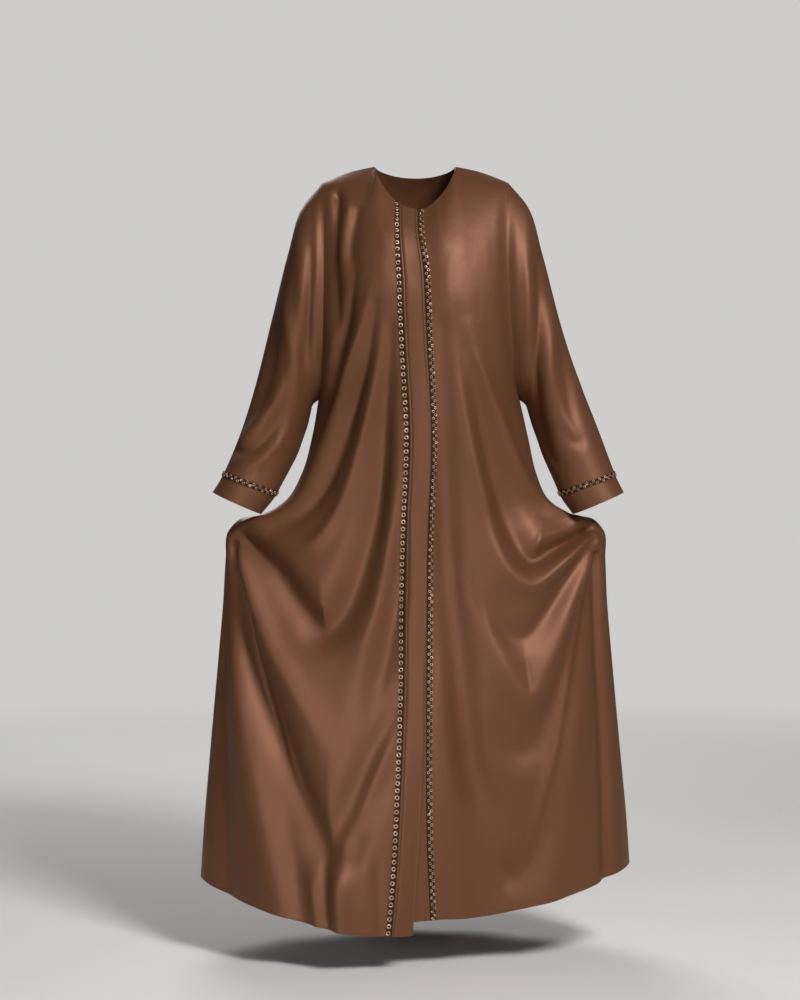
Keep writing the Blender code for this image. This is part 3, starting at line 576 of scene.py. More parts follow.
# Copies of one small shape at each place: its points turned into each place's own axes.
def strew(name, shape, faces, places, axes, material):
    points = places[:, None] + np.einsum("vi,nij->nvj", shape, np.stack(axes, axis=1))
    steps = np.arange(len(places))[:, None, None] * len(shape)
    return makeObject(name, points.reshape(-1, 3), (faces + steps).reshape(-1, faces.shape[1]), material)


# A ring: a small circle carried round a larger one, lying in the first two axes.
def ringShape(radius, thick, around, section):
    a = np.linspace(0, 2 * math.pi, around, endpoint=False)[:, None]
    b = np.linspace(0, 2 * math.pi, section, endpoint=False)[None, :]
    reach = radius + thick * np.cos(b)
    points = np.stack([reach * np.cos(a), reach * np.sin(a), thick * np.sin(b) + 0 * a], axis=-1)
    i, j = np.meshgrid(np.arange(around), np.arange(section), indexing="ij")
    k, m = (i + 1) % around, (j + 1) % section
    faces = np.stack([i * section + j, k * section + j, k * section + m, i * section + m], axis=-1)
    return points.reshape(-1, 3), faces.reshape(-1, 4)


# A bead: circles stacked from pole to pole along the second axis, closed by two poles, and
# flattened by the last number.
def beadShape(radius, reach, around=6, levels=4, flat=1.0):
    turn = np.linspace(0, math.pi, levels + 2)[1:-1, None]
    a = np.linspace(0, 2 * math.pi, around, endpoint=False)[None, :]
    x, z = radius * np.sin(turn) * np.cos(a), radius * flat * np.sin(turn) * np.sin(a)
    points = np.stack([x, reach * np.cos(turn) + 0 * a, z], axis=-1).reshape(-1, 3)
    quads = gridFaces(levels, around, 0, True)
    i = np.arange(around)
    k = (i + 1) % around
    top, low = levels * around, levels * around + 1
    last = (levels - 1) * around
    caps = [np.stack([0 * i + top, k, i], axis=1), np.stack([0 * i + low, last + i, last + k], axis=1)]
    faces = np.concatenate([quads[:, [0, 1, 2]], quads[:, [0, 2, 3]]] + caps)
    return np.concatenate([points, [[0, reach, 0], [0, -reach, 0]]]), faces


print("stage 1: shapes and tables are ready")


# Shader tools

# A socket whose operators add Math nodes, so that shader maths reads as an expression.
class Wire:
    def __init__(self, nodes, socket):
        self.nodes, self.socket = nodes, socket

    def math(self, operation, *values):
        return self.nodes.add("ShaderNodeMath", {"operation": operation}, *values)

    def __add__(self, other):
        return self.math("ADD", self, other)

    def __radd__(self, other):
        return self.math("ADD", other, self)

    def __sub__(self, other):
        return self.math("SUBTRACT", self, other)

    def __rsub__(self, other):
        return self.math("SUBTRACT", other, self)

    def __mul__(self, other):
        return self.math("MULTIPLY", self, other)

    def __rmul__(self, other):
        return self.math("MULTIPLY", other, self)

    def sine(self):
        return self.math("SINE", self)

    def clamp(self, low=0.0, high=1.0):
        return self.nodes.add("ShaderNodeClamp", {}, self, low, high)


# The nodes of one material. add makes a node from its type, its settings and its inputs.
class Finish:
    def __init__(self, name, **constants):
        self.material = bpy.data.materials.new(name)
        self.material.use_nodes = True
        self.tree = self.material.node_tree
        self.shader = self.tree.nodes["Principled BSDF"]
        for socket, value in constants.items():
            self.feed(socket.replace("_", " "), value)

    def add(self, kind, settings, *values, output=0, **named):
        node = self.tree.nodes.new(kind)
        for key, value in settings.items():
            setattr(node, key, value)
        for key, value in [*enumerate(values), *named.items()]:
            self.plug(value, node.inputs[key])
        return Wire(self, node.outputs[output])

    def plug(self, value, socket):
        if isinstance(value, Wire):
            self.tree.links.new(value.socket, socket)
        else:
            socket.default_value = value

    def feed(self, socket, value):
        self.plug(value, self.shader.inputs[socket])

    def noise(self, vector, scale, detail):
        return self.add("ShaderNodeTexNoise", {}, output="Fac", Vector=vector, Scale=scale, Detail=detail)

    def stretched(self, vector, scale):
        return self.add("ShaderNodeMapping", {}, Vector=vector, Scale=scale)

    def bump(self, height, strength, distance, **under):
        return self.add("ShaderNodeBump", {}, Strength=strength, Distance=distance, Height=height, **under)

    def mixed(self, factor, first, second):
        node = self.tree.nodes.new("ShaderNodeMix")
        node.data_type = "RGBA"
        for key, value in {"Factor": factor, "A": first, "B": second}.items():
            self.plug(value, node.inputs[key])
        return Wire(self, node.outputs["Result"])

    def place(self):
        return self.add("ShaderNodeTexCoord", {}, output="Object")

    def cloth(self):
        return self.add("ShaderNodeUVMap", {"uv_map": "cloth"})


# Finishes

satinLook = {
    "color": (0.124, 0.0492, 0.0232, 1),
    "light": (0.150, 0.0616, 0.0300, 1),
    "roughness": 0.44,
    "metallic": 0.34,
    "sheen": 0.04,
    "sheenTint": (0.80, 0.50, 0.33, 1),
    "slubs": (900, 26, 1),  # how many to the metre of cloth, across and down
    "floats": (2600, 420, 1),
    "weaveDepth": 0.00012,
    "dentDepth": 0.0011,
}
copperLook = {
    "color": (0.50, 0.285, 0.190, 1),
    # light is the colour of small painted glints on the rings; color is the copper's own
    "light": (0.92, 0.70, 0.56, 1),
    "roughness": 0.24,
}
threadLook = {
    # hole is the near-black colour of the beads set in the rings' holes: painted shade
    "hole": (0.0022, 0.0012, 0.0009, 1),
    "tapeDark": (0.0140, 0.0060, 0.0032, 1),
    "tapeLight": (0.0520, 0.0220, 0.0110, 1),
    "dark": (0.060, 0.026, 0.014, 1),
    "light": (0.150, 0.072, 0.042, 1),
    "ribs": 4200,
    "ribDepth": 0.0003,
}


# Brown satin: a close weave of fine warp floats, with faint slubs and soft dents.
def satinFinish(name, darker=1.0):
    finish = Finish(name, Sheen_Weight=satinLook["sheen"], Sheen_Roughness=0.42, Specular_IOR_Level=0.25)
    finish.feed("Metallic", satinLook["metallic"])
    finish.feed("Sheen Tint", satinLook["sheenTint"])
    place, cloth = finish.place(), finish.cloth()
    slub = finish.noise(finish.stretched(cloth, satinLook["slubs"]), 1.0, 2.0)
    floats = finish.noise(finish.stretched(cloth, satinLook["floats"]), 1.0, 1.0)
    worn = finish.noise(place, 5.0, 3.0)
    dents = finish.noise(place, 42.0, 3.0)
    shade = (worn * 0.55 + slub * 0.30 + floats * 0.15).clamp()
    low, high = (tuple(c * darker for c in satinLook[key][:3]) + (1,) for key in ("color", "light"))
    finish.feed("Base Color", finish.mixed(shade, low, high))
    finish.feed("Roughness", (satinLook["roughness"] + 0.08 * slub + 0.05 * worn).clamp(0.2, 0.8))
    weave = finish.bump(slub + floats, 0.30, satinLook["weaveDepth"])
    finish.feed("Normal", finish.bump(dents, 0.55, satinLook["dentDepth"], Normal=weave))
    return finish.material


def copperFinish(name):
    finish = Finish(name, Metallic=0.92)
    # Small bright patches of painted glint in the colour, over the copper's own colour; the same patches
    # vary its roughness.
    glintPatches = finish.noise(finish.place(), 620.0, 1.0)
    shade = (glintPatches * 5 - 2.5).clamp()
    finish.feed("Base Color", finish.mixed(shade, copperLook["color"], copperLook["light"]))
    finish.feed("Roughness", (copperLook["roughness"] + 0.12 * glintPatches).clamp(0.1, 0.8))
    return finish.material


# The tape under the beads: dark thread with a plain rib across it.
def tapeFinish(name):
    finish = Finish(name, Specular_IOR_Level=0.12)
    cloth = finish.cloth()
    along = finish.add("ShaderNodeSeparateXYZ", {}, output="Y", Vector=cloth)
    rib = (along * threadLook["ribs"]).sine() * 0.5 + 0.5
    fleck = finish.noise(finish.stretched(cloth, (900, 900, 1)), 1.0, 2.0)
    shade = (fleck * 1.4 - 0.2).clamp()
    finish.feed("Base Color", finish.mixed(shade, threadLook["tapeDark"], threadLook["tapeLight"]))
    finish.feed("Roughness", (0.65 + 0.2 * fleck).clamp())
    finish.feed("Normal", finish.bump(rib + fleck, 0.6, threadLook["ribDepth"]))
    return finish.material


def threadFinish(name):
    finish = Finish(name, Sheen_Weight=0.3, Specular_IOR_Level=0.5)
    twist = finish.noise(finish.place(), 1800.0, 1.0)
    finish.feed("Base Color", finish.mixed(twist, threadLook["dark"], threadLook["light"]))
    finish.feed("Roughness", (0.40 + 0.2 * twist).clamp())
    return finish.material


satin = satinFinish("satin")
bandSatin = satinFinish("satinBand", 0.94)
copper = copperFinish("copperBead")
# The near-black beads in the rings' holes are painted shade, standing in for the shadow in each hole.
holeShadeBead = Finish("holeShadeBead", Base_Color=threadLook["hole"], Roughness=0.8, Specular_IOR_Level=0.1).material
tapeCloth = tapeFinish("tapeCloth")
thread = threadFinish("thread")
print("stage 2: finishes are ready")


# The fronts

frontCut = {
    "hemRows": 214,
    "armholeRows": 92,
    "columns": 84,
    "placketWidth": 0.033,
    "trimFromEdge": 0.037,
    "trimWidth": 0.010,
    "pipingWidth": 0.0032,
    "pipingHeight": 0.0007,
    "rollHeight": 0.0010,
    "bandStart": 0.0050,
    "bandEdge": 0.0016,  # where the band thins to its seam
    "bandStep": 0.0044,
    "tapeStep": 0.0034,
    "underStep": 0.0045,
    "seamGap": 0.0003,
    "bandWall": 0.0012,
    "tapeWall": 0.0007,
    "ripple": 0.0006,
}


def bodyRowNumbers(upper, lower):
    top = np.linspace(0, cut["chestRow"], round(upper / 3) + 1)
    arm = np.linspace(cut["chestRow"], cut["underarmRow"], round(upper * 2 / 3) + 1)[1:]
    skirt = np.linspace(cut["underarmRow"], cut["hemRow"], lower + 1)[1:]
    return np.concatenate([top, arm, skirt])


# The small unevenness of hanging cloth: two sizes of soft noise, drawn out down the cloth.
def ripple(points, size, seed):
    x, z = points[..., 0], points[..., 2]
    wide = softNoise(x, z, 0.035, 0.110, seed)
    fine = softNoise(x, z, 0.014, 0.038, seed + 1)
    return size * (wide + 0.45 * fine)


# On each row, how far the opening's edge lies from the middle line, and the left trim from it.
def openingAt(rows):
    bodyZ = named(bodyColumns, through(bodyRows, np.maximum(rows, cut["chestRow"])))["centerZ"]
    f = np.clip(rows / cut["chestRow"], 0, 1)
    middleZ = -cut["frontNeckDepth"] * (1 - f) + bodyZ * f
    opening = named(openingColumns, through(openingRows, middleZ))
    return opening["edgeX"][:, None], opening["trimStart"][:, None]


# Lengths from the middle line: the given ones near the opening first, then even ones.
def frontLengths(rows, near):
    reach = lineLengths(halfRing(rows, -1))
    f = np.linspace(0, 1, frontCut["columns"] + 1)[None, 1:]
    return np.concatenate([near, near[:, -1:] * (1 - f) + reach[:, None] * f], axis=1)


# How deep the armhole's seam sinks: most halfway down it, and a bell of the distance from it.
def seamSink(share, away, part):
    deep = cut["seamDip"][part] * np.sin(math.pi * np.clip(share, 0, 1)) ** 0.8
    return deep * bell(away, cut["seamDipWidth"])


# A panel before its folds. It is evened out at underarm level, where each row moves towards
# the mean of the rows round it, but not at the armhole and side seam, and its seam is sunk.
def smoothPanel(rows, lengths, facing, side, part):
    points = bodyHalf(rows, lengths, facing, side)
    soft = points.copy()
    for _ in range(160):
        soft[1:-1] = (soft[:-2] + 2 * soft[1:-1] + soft[2:]) / 4
    away = lineLengths(halfRing(rows, facing))[:, None] - np.abs(lengths)
    weight = bell(rows - cut["underarmRow"], 1.0)[:, None] * ease(away, 0.0, 0.06)
    points += weight[..., None] * (soft - points)
    share = np.minimum(rows / cut["underarmRow"], 1)[:, None]
    points[..., 1] -= facing * seamSink(share, away, part)
    return points


# A panel's outer points and normals: it is lifted along its normal by the folds and ripple,
# but for a narrow margin at the armhole and side seam, and hung on the wearer.
def hungPanel(points, rows, lengths, facing, folds, size, seed, hang, extra=0.0):
    reach = lineLengths(halfRing(rows, facing))[:, None]
    free = ease(np.abs(points[..., 1]), 0.002, 0.030) * ease(reach - np.abs(lengths), 0.002, 0.036)
    at = leaned(points)
    rise = foldHeight(at[..., 0], at[..., 2], folds) + ripple(at, size, seed)
    rise = rise * free + extra
    points = hang(points + rise[..., None] * outwardNormals(points, facing))
    points[..., 1] = facing * np.maximum(facing * points[..., 1], 0)
    return points, outwardNormals(points, facing)


def frontPanel(rows, lengths, side, seed, extra):
    points = smoothPanel(rows, lengths, -1, side, "frontLeft" if side > 0 else "frontRight")
    hang = lambda moved: stepped(moved, side)
    return hungPanel(points, rows, lengths, -1, frontFolds, frontCut["ripple"], seed, hang, extra)


# Cloth coordinates: metres across from the opening and metres down.
def clothMap(points, lengths):
    down = running(np.linalg.norm(np.diff(points, axis=0), axis=2).mean(axis=1))
    return np.stack([lengths + 0.02, np.broadcast_to(down[:, None], lengths.shape)], axis=-1)


# A panel's wall, which ends with its outer side at the side seam.
def makePanel(name, points, normal, cloth, facing):
    inner = points - cut["wall"] * normal
    inner[..., 1] = facing * np.maximum(facing * inner[..., 1], 0)
    return makeWall(name, points, inner, cloth, False, satin)


# A tape sewn on a panel: the panel's own points between two columns, moved out.
def makeTape(name, points, normal, cloth, first, count):
    part = slice(first, first + count)
    base = points[:, part] + frontCut["seamGap"] * normal[:, part]
    outer = base + frontCut["tapeWall"] * normal[:, part]
    return makeWall(name, outer, base, cloth[:, part], False, tapeCloth)


def spaced(start, end, step):
    return np.linspace(start, end, max(2, round((end - start) / step) + 1))


rows = bodyRowNumbers(frontCut["armholeRows"], frontCut["hemRows"])
edgeX, trimStart = openingAt(rows)
bandEnd, tapeStart = frontCut["placketWidth"], frontCut["trimFromEdge"]
bandOffsets = np.concatenate([
    np.linspace(0, frontCut["pipingWidth"], 6),
    spaced(frontCut["bandStart"], bandEnd - frontCut["bandEdge"], frontCut["bandStep"]),
    [bandEnd],
])
rollOffsets = np.linspace(bandEnd, tapeStart, 7)[1:-1]
tapeOffsets = spaced(tapeStart, tapeStart + frontCut["trimWidth"], frontCut["tapeStep"])
rightLengths = frontLengths(rows, np.concatenate([bandOffsets, rollOffsets, tapeOffsets]) - edgeX)
rollShare = np.clip((rightLengths + edgeX - bandEnd) / (tapeStart - bandEnd), 0, 1)
roll = frontCut["rollHeight"] * np.sin(math.pi * rollShare) ** 0.7
rightPoints, rightNormal = frontPanel(rows, rightLengths, -1, 11, roll)
rightMap = clothMap(rightPoints, rightLengths)
frontRight = makePanel("frontRight", rightPoints, rightNormal, rightMap, -1)
print("stage 3: right front,", len(frontRight.data.polygons), "faces")

bandCount = len(bandOffsets)
bandNormal = rightNormal[:, :bandCount]
base = rightPoints[:, :bandCount] + frontCut["seamGap"] * bandNormal
piping = np.sin(math.pi * np.clip(bandOffsets / frontCut["pipingWidth"], 0, 1)) ** 0.6
ends = ease(bandEnd - bandOffsets, 0.0, frontCut["bandEdge"]) * ease(bandOffsets, -0.0008, 0.0004)
thin = frontCut["seamGap"]
lift = thin + (frontCut["bandWall"] - thin) * ends + frontCut["pipingHeight"] * piping
top = base + lift[None, :, None] * bandNormal
placket = makeWall("placketBand", top, base, rightMap[:, :bandCount], False, bandSatin)

tapeCount = len(tapeOffsets)
tapeFirst = bandCount + len(rollOffsets)
rightTape = makeTape("rightTape", rightPoints, rightNormal, rightMap, tapeFirst, tapeCount)

# The left front starts under the placket, a little behind the right one.
leftTapeOffsets = spaced(0, frontCut["trimWidth"], frontCut["tapeStep"])
underOffsets = spaced(-cut["underlap"], 0, frontCut["underStep"])
leftNear = [edgeX + underOffsets, edgeX + trimStart / 2, edgeX + trimStart + leftTapeOffsets]
leftLengths = frontLengths(rows, np.concatenate(leftNear, axis=1))
leftSink = cut["underlapDepth"] * (1 - ease(leftLengths - edgeX, 0.0, 0.05))
leftPoints, leftNormal = frontPanel(rows, leftLengths, 1, 23, -leftSink)
leftMap = clothMap(leftPoints, leftLengths)
frontLeft = makePanel("frontLeft", leftPoints, leftNormal, leftMap, -1)
leftFirst = len(underOffsets) + 1
leftTape = makeTape("leftTape", leftPoints, leftNormal, leftMap, leftFirst, len(leftTapeOffsets))
print("stage 4: placket, tapes and left front,", len(frontLeft.data.polygons), "faces")


# The back

backCut = {
    "hemRows": 158,
    "armholeRows": 69,
    "columns": 68,
    "gather": 0.43 * math.pi,  # columns are closer together towards the side
    "ripple": 0.0007,
}

backRows = bodyRowNumbers(backCut["armholeRows"], backCut["hemRows"])
share = np.sin(np.linspace(0, backCut["gather"], backCut["columns"] + 1)) / math.sin(backCut["gather"])
oneSide = lineLengths(halfRing(backRows, 1))[:, None] * share[None, :]
half = smoothPanel(backRows, oneSide, 1, 1, "back")
backPoints = np.concatenate([half[:, :0:-1] * np.array([-1, 1, 1]), half], axis=1)
backLengths = np.concatenate([-oneSide[:, :0:-1], oneSide], axis=1)
backPoints, backNormal = hungPanel(
    backPoints, backRows, backLengths, 1, backFolds, backCut["ripple"], 37, leaned
)
back = makePanel("backPanel", backPoints, backNormal, clothMap(backPoints, backLengths), 1)
print("stage 5: back,", len(back.data.polygons), "faces")


# The sleeves and cuffs

sleeveCut = {
    "length": 0.47,
    "cuff": 0.046,
    "gap": 0.0001,  # between the sleeve and the armhole
    "around": 132,
    "rows": 108,
    "fitted": 0.3,  # the share of the sleeve over which its rings grow into the armhole
    "folded": (0.015, 0.10, 0.88, 0.975),  # where folds start, are whole, fade and end
    "backDrop": 0.012,  # how much lower the folds lie on the back
    "ripple": 0.0005,
}


# Rings from the armhole to the wrist: ellipses between the outer and the inner side, the
# first of them pulled onto the armhole.
def sleeveRings(numbers, side, around):
    sleeve = named(sleeveColumns, through(sleeveRows, numbers))
    turn = np.linspace(0, 2 * math.pi, around, endpoint=False)
    outer = np.stack([sleeve["outerX"], 0 * numbers, sleeve["outerZ"]], axis=1)[:, None]
    inner = np.stack([sleeve["innerX"], 0 * numbers, sleeve["innerZ"]], axis=1)[:, None]
    middleY = (sleeve["frontY"] + sleeve["backY"]) / 2
    halfY = (sleeve["backY"] - sleeve["frontY"]) / 2
    points = (outer + inner) / 2 + (outer - inner) / 2 * np.cos(turn)[None, :, None]
    points[..., 1] = middleY[:, None] - halfY[:, None] * np.sin(turn)[None, :]
    edgeRows = np.linspace(0, cut["underarmRow"], around // 2 + 1)
    edge = np.concatenate([armholeEdge(edgeRows, -1), armholeEdge(edgeRows, 1)[-2:0:-1]])
    fade = (np.clip(1 - numbers / sleeveCut["fitted"], 0, 1) ** 2)[:, None, None]
    points = points + fade * (edge[None] - points[:1])
    points[..., 0] *= side
    return points


# A sleeve, its tape and its cuff, and the lines for the trim and the edge stitch.
def makeSleeve(name, side, folds, seed):
    tape = frontCut["trimWidth"] / sleeveCut["length"]
    tapeNumbers = np.linspace(1 - tape, 1, 5)
    cuffNumbers = np.linspace(1, 1 + sleeveCut["cuff"] / sleeveCut["length"], 12)
    every = [np.linspace(0, 1 - tape, sleeveCut["rows"]), tapeNumbers[1:], cuffNumbers[1:]]
    every = np.concatenate(every)
    points = sleeveRings(every, side, sleeveCut["around"])
    away = running(np.linalg.norm(np.diff(points, axis=0), axis=2))
    turn = np.arange(sleeveCut["around"]) / (sleeveCut["around"] / 2)
    front = "frontLeft" if side > 0 else "frontRight"
    share = (1 - np.abs(1 - turn))[None, :]
    points[..., 1] += np.where(turn < 1, seamSink(share, away, front), -seamSink(share, away, "back"))
    normal = gridNormals(points, True) * -side
    fromMiddle = points[..., 1] - points[..., 1].mean(axis=1)[:, None]
    free = within(every, *sleeveCut["folded"])[:, None] * ease(np.abs(fromMiddle), 0.006, 0.040)
    at = leaned(points)
    lower = np.where(fromMiddle > 0, sleeveCut["backDrop"], 0.0)
    rise = foldHeight(at[..., 0], at[..., 2] - lower, folds, side)
    rise = (rise + ripple(at, sleeveCut["ripple"], seed)) * free
    points = leaned(points + rise[..., None] * normal)
    normal = gridNormals(points, True) * -side
    inner = points - cut["wall"] * normal
    inner[0, :, 0] = side * np.maximum(side * inner[0, :, 0], side * points[0, :, 0])
    points[0, :, 0] += side * sleeveCut["gap"]
    inner[0, :, 0] += side * sleeveCut["gap"]
    down = running(np.linalg.norm(np.diff(points, axis=0), axis=2).mean(axis=1))[:, None]
    apart = np.linalg.norm(np.diff(points[40], axis=0), axis=1).mean()
    across = np.arange(sleeveCut["around"])[None, :] * apart
    cloth = np.stack([across + 0 * down, down + 0 * across], axis=-1)
    count = sleeveCut["rows"] + len(tapeNumbers) - 1
    pieces = {}
    pieces["sleeve"] = makeWall(name + "Sleeve", points[:count], inner[:count], cloth[:count], True, satin)
    part = slice(count - len(tapeNumbers), count)
    base = points[part] + frontCut["seamGap"] * normal[part]
    outer = base + frontCut["tapeWall"] * normal[part]
    pieces["tape"] = makeWall(name + "CuffTape", outer, base, cloth[part], True, tapeCloth)
    cuffOuter, cuffInner = points[count - 1 :].copy(), inner[count - 1 :].copy()
    past = frontCut["seamGap"] * unit(points[count] - points[count - 1])
    cuffOuter[0] += past
    cuffInner[0] += past
    pieces["cuff"] = makeWall(name + "Cuff", cuffOuter, cuffInner, cloth[count - 1 :], True, bandSatin)
    closedLine = lambda line: np.concatenate([line, line[:1]])
    pieces["trimLine"] = closedLine(outer[2]), closedLine(normal[count - 3])
    pieces["edgeLine"] = closedLine(points[-3]), closedLine(normal[-3])
    return pieces


leftArm = makeSleeve("left", 1, leftSleeveFolds, 51)
rightArm = makeSleeve("right", -1, rightSleeveFolds, 67)
print("stage 6: sleeves and cuffs,", len(leftArm["sleeve"].data.polygons), "faces each")


# Beads and stitches

trim = {
    "ringPitch": 0.0125,
    "ring": 0.0032,
    "ringThick": 0.0012,
    "ringLean": 0.12,
    # hole and smallHole size the near-black beads of painted shade in the rings' holes
    "hole": 0.0021,
    "holeRise": 0.0007,
    "smallRing": 0.0022,
    "smallThick": 0.0008,
    "smallLean": 0.2,
    "smallHole": 0.0015,
    "smallPitch": 0.0124,
    "smallShift": 0.0021,
    "rise": 0.6,  # a ring's height over the tape, as a share of its thickness
    "stitch": 0.0030,
    "stitchPitch": 0.0038,
    "stitchThick": 0.00024,
}


# Places every pitch along a path, with the directions across, along and out at each one.
def stations(path, normal, pitch, start, shift):
    at = running(np.linalg.norm(np.diff(path, axis=0), axis=1))
    count = int(at[-1] / pitch)
    places = (np.arange(count) + start) * at[-1] / count
    read = lambda values: np.stack([np.interp(places, at, values[:, k]) for k in range(3)], axis=1)
    along = unit(read(np.gradient(path, axis=0)))
    across = unit(np.cross(along, read(normal)))
    return read(path) + shift * across, across, along, np.cross(across, along)


def layBeads(name, line, shape, pitch, material, start=0.5, shift=0.0, lift=0.0, tilt=0.0, seed=1):
    spot, across, along, up = stations(*line, pitch, start, shift)
    lean = tilt * np.random.default_rng(seed).normal(size=(len(spot), 2))
    up = unit(up + lean[:, :1] * across + lean[:, 1:] * along)
    along = unit(np.cross(up, across))
    return strew(name, *shape, spot + lift * up, (np.cross(along, up), along, up), material)


# A row of rings, each with a near-black bead in its middle as painted shade in its hole.
def layRings(name, row, line, size, seed, start=0.5, shift=0.0):
    rings, holeShadeBeads, pitch, rise, tilt = size
    for kind, shape, material, extra in (
        ("Rings", rings, copper, (rise, tilt, seed)),
        ("Holes", holeShadeBeads, holeShadeBead, ()),
    ):
        beads[name + kind + row] = layBeads(
            name + kind + row, line, shape, pitch, material, start, shift, *extra
        )


def midLine(points, normal, column, lift):
    return points[:, column] + lift * normal[:, column], normal[:, column]


tapeTop = frontCut["seamGap"] + frontCut["tapeWall"]
rightLine = midLine(rightPoints, rightNormal, tapeFirst + tapeCount // 2, tapeTop)
leftLine = midLine(leftPoints, leftNormal, leftFirst + len(leftTapeOffsets) // 2, tapeTop)
flat = trim["holeRise"] / trim["hole"]
ringSize = (
    ringShape(trim["ring"], trim["ringThick"], 10, 5),
    beadShape(trim["hole"], trim["hole"], flat=flat),
    trim["ringPitch"],
    trim["rise"] * trim["ringThick"],
    trim["ringLean"],
)
smallSize = (
    ringShape(trim["smallRing"], trim["smallThick"], 8, 4),
    beadShape(trim["smallHole"], trim["smallHole"], flat=flat),
    trim["smallPitch"],
    trim["rise"] * trim["smallThick"],
    trim["smallLean"],
)
beads = {}
layRings("right", "", rightLine, ringSize, 3)
trimLines = {"left": leftLine, "leftCuff": leftArm["trimLine"], "rightCuff": rightArm["trimLine"]}
for i, (name, line) in enumerate(trimLines.items()):
    layRings(name, "Upper", line, smallSize, 7 + 2 * i, 0.25, -trim["smallShift"])
    layRings(name, "Lower", line, smallSize, 8 + 2 * i, 0.75, trim["smallShift"])
print("stage 7: beads,", sum(len(b.data.polygons) for b in beads.values()), "faces")

stitch = beadShape(trim["stitchThick"], trim["stitch"] / 2, 5, 3)
lines = {
    "placketEdgeStitch": midLine(top, bandNormal, 1, 0.0),
    "placketSeamStitch": midLine(top, bandNormal, bandCount - 2, 0.0),
    "rightHemStitch": (rightPoints[-3], rightNormal[-3]),
    "leftHemStitch": (leftPoints[-3], leftNormal[-3]),
    "backHemStitch": (backPoints[-3], backNormal[-3]),
    "leftCuffStitch": leftArm["edgeLine"],
    "rightCuffStitch": rightArm["edgeLine"],
}
stitches = {name: layBeads(name, line, stitch, trim["stitchPitch"], thread) for name, line in lines.items()}
print("stage 8: stitches,", sum(len(s.data.polygons) for s in stitches.values()), "faces")


# What rides, replaces and hangs

def trimmed(name):
    return [b for key, b in beads.items() if key.startswith((name + "Rings", name + "Holes"))]


def sewn(name):
    return [s for key, s in stitches.items() if key.startswith(name)]


pieces = {
    "front_right": (frontRight, "satin", (0.50, 1.41), 0.478, sewn("rightHem")),
    "front_left": (frontLeft, "satin", (0.48, 1.41), 0.446, sewn("leftHem")),
    "back": (back, "satin", (0.98, 1.41), 0.911, sewn("backHem")),
    "sleeve_left": (leftArm["sleeve"], "satin", (0.62, 0.56), 0.167, []),
    "sleeve_right": (rightArm["sleeve"], "satin", (0.62, 0.56), 0.167, []),
    "cuff_left": (leftArm["cuff"], "satin_band", (0.25, 0.046), 0.0114, sewn("leftCuff")),
    "cuff_right": (rightArm["cuff"], "satin_band", (0.25, 0.046), 0.0114, sewn("rightCuff")),
    "placket": (placket, "satin_band", (0.033, 1.33), 0.0437, sewn("placket")),
    "trim_front_right": (rightTape, "bead_trim", (0.010, 1.33), 0.0132, trimmed("right")),
    "trim_front_left": (leftTape, "bead_trim", (0.010, 1.33), 0.0132, trimmed("left")),
    "trim_cuff_left": (leftArm["tape"], "bead_trim", (0.25, 0.010), 0.0025, trimmed("leftCuff")),
    "trim_cuff_right": (rightArm["tape"], "bead_trim", (0.25, 0.010), 0.0025, trimmed("rightCuff")),
}
holds = {
    "backPanel": ("front_right", "front_left", "sleeve_left", "sleeve_right"),
    "frontRight": ("placket", "trim_front_right"),
    "frontLeft": ("trim_front_left",),
    "leftSleeve": ("cuff_left", "trim_cuff_left"),
    "rightSleeve": ("cuff_right", "trim_cuff_right"),
}
for node, (piece, slotName, flat, area, carried) in pieces.items():
    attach(piece, "root")
    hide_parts(node)
    for small in carried:
        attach(small, "root")
    restsOn = [under for under, nodes in holds.items() if node in nodes]


# Stage, lights and camera

stage = {
    "floorZ": -1.45,
    "floorHalf": 9.0,
    "floor": (0.72, 0.715, 0.700, 1),
    "floorFade": (2.4, 0.45),  # how far out the floor starts to fade, and how fast
    "wall": (0.615, 0.610, 0.598, 1),  # what the camera sees behind
    "air": (0.055, 0.055, 0.055, 1),  # the soft light that comes from all round
    "cameraPlace": (-0.028, -4.6, -0.50),
    "cameraTilt": 88.57,
    "lens": 89.5,
}
lights = {
    "key": {"place": (1.7, -3.1, 1.9), "aim": (0, 0, -0.7), "size": 1.3, "power": 195},
    "fill": {"place": (-2.6, -3.2, 0.6), "aim": (0, 0, -0.6), "size": 2.4, "power": 3},
    "skirtFill": {"place": (-0.9, -3.4, -0.6), "aim": (-0.26, -0.1, -1.05), "size": 0.6, "power": 1.5},
    "backFill": {"place": (-0.8, 3.4, 1.8), "aim": (0, 0, -0.7), "size": 2.6, "power": 90},
}
lights["key"]["color"] = (1.0, 0.98, 0.95)
lights["skirtFill"]["spread"] = 34
half = stage["floorHalf"]
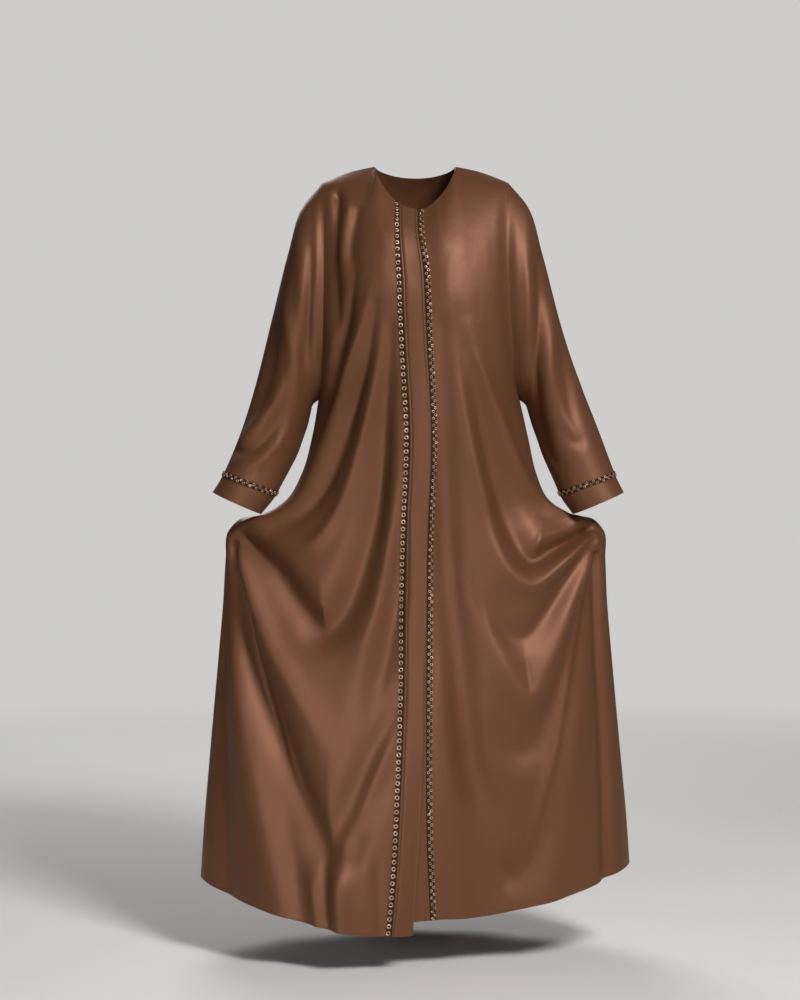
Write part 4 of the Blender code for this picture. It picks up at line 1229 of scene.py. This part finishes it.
corners = np.array([[-half, -half, 0], [half, -half, 0], [half, half, 0], [-half, half, 0]])
corners[:, 2] = stage["floorZ"]
floorFinish = Finish("paleFloor", Base_Color=stage["floor"], Roughness=0.8, Specular_IOR_Level=0.2)
spot = floorFinish.place()
away = floorFinish.add("ShaderNodeVectorMath", {"operation": "LENGTH"}, output="Value", Vector=spot)
fadeStart, fadeRate = stage["floorFade"]
floorFinish.feed("Alpha", (1 - (away - fadeStart) * fadeRate).clamp())
floor = makeObject("floor", corners, np.array([[0, 1, 2, 3]]), floorFinish.material, False)


def areaLight(name, place, aim, size, power, spread=180, color=(1, 1, 1)):
    data = bpy.data.lights.new(name, "AREA")
    data.shape, data.size, data.energy, data.color = "DISK", size, power, color
    data.spread = math.radians(spread)
    light = bpy.data.objects.new(name, data)
    light.location = place
    toward = np.array(aim) - np.array(place)
    level = math.hypot(toward[0], toward[1])
    light.rotation_euler = (math.atan2(level, -toward[2]), 0, math.atan2(-toward[0], toward[1]))
    bpy.context.scene.collection.objects.link(light)


for name, values in lights.items():
    areaLight(name, **values)
world = bpy.data.worlds.new("paleStudio")
world.use_nodes = True
worldTree = world.node_tree
rays = worldTree.nodes.new("ShaderNodeLightPath")
wallOrAir = worldTree.nodes.new("ShaderNodeMix")
wallOrAir.data_type = "RGBA"
wallOrAir.inputs["A"].default_value = stage["air"]
wallOrAir.inputs["B"].default_value = stage["wall"]
worldTree.links.new(rays.outputs["Is Camera Ray"], wallOrAir.inputs["Factor"])
worldTree.links.new(wallOrAir.outputs["Result"], worldTree.nodes["Background"].inputs["Color"])
bpy.context.scene.world = world
bpy.context.scene.view_settings.view_transform = "Standard"

cameraData = bpy.data.cameras.new("camera")
cameraData.lens = stage["lens"]
cameraData.sensor_width = 36
camera = bpy.data.objects.new("camera", cameraData)
camera.location = stage["cameraPlace"]
camera.rotation_euler = (math.radians(stage["cameraTilt"]), 0, 0)
bpy.context.scene.collection.objects.link(camera)
bpy.context.scene.camera = camera
print("stage 9: stage, lights and camera")
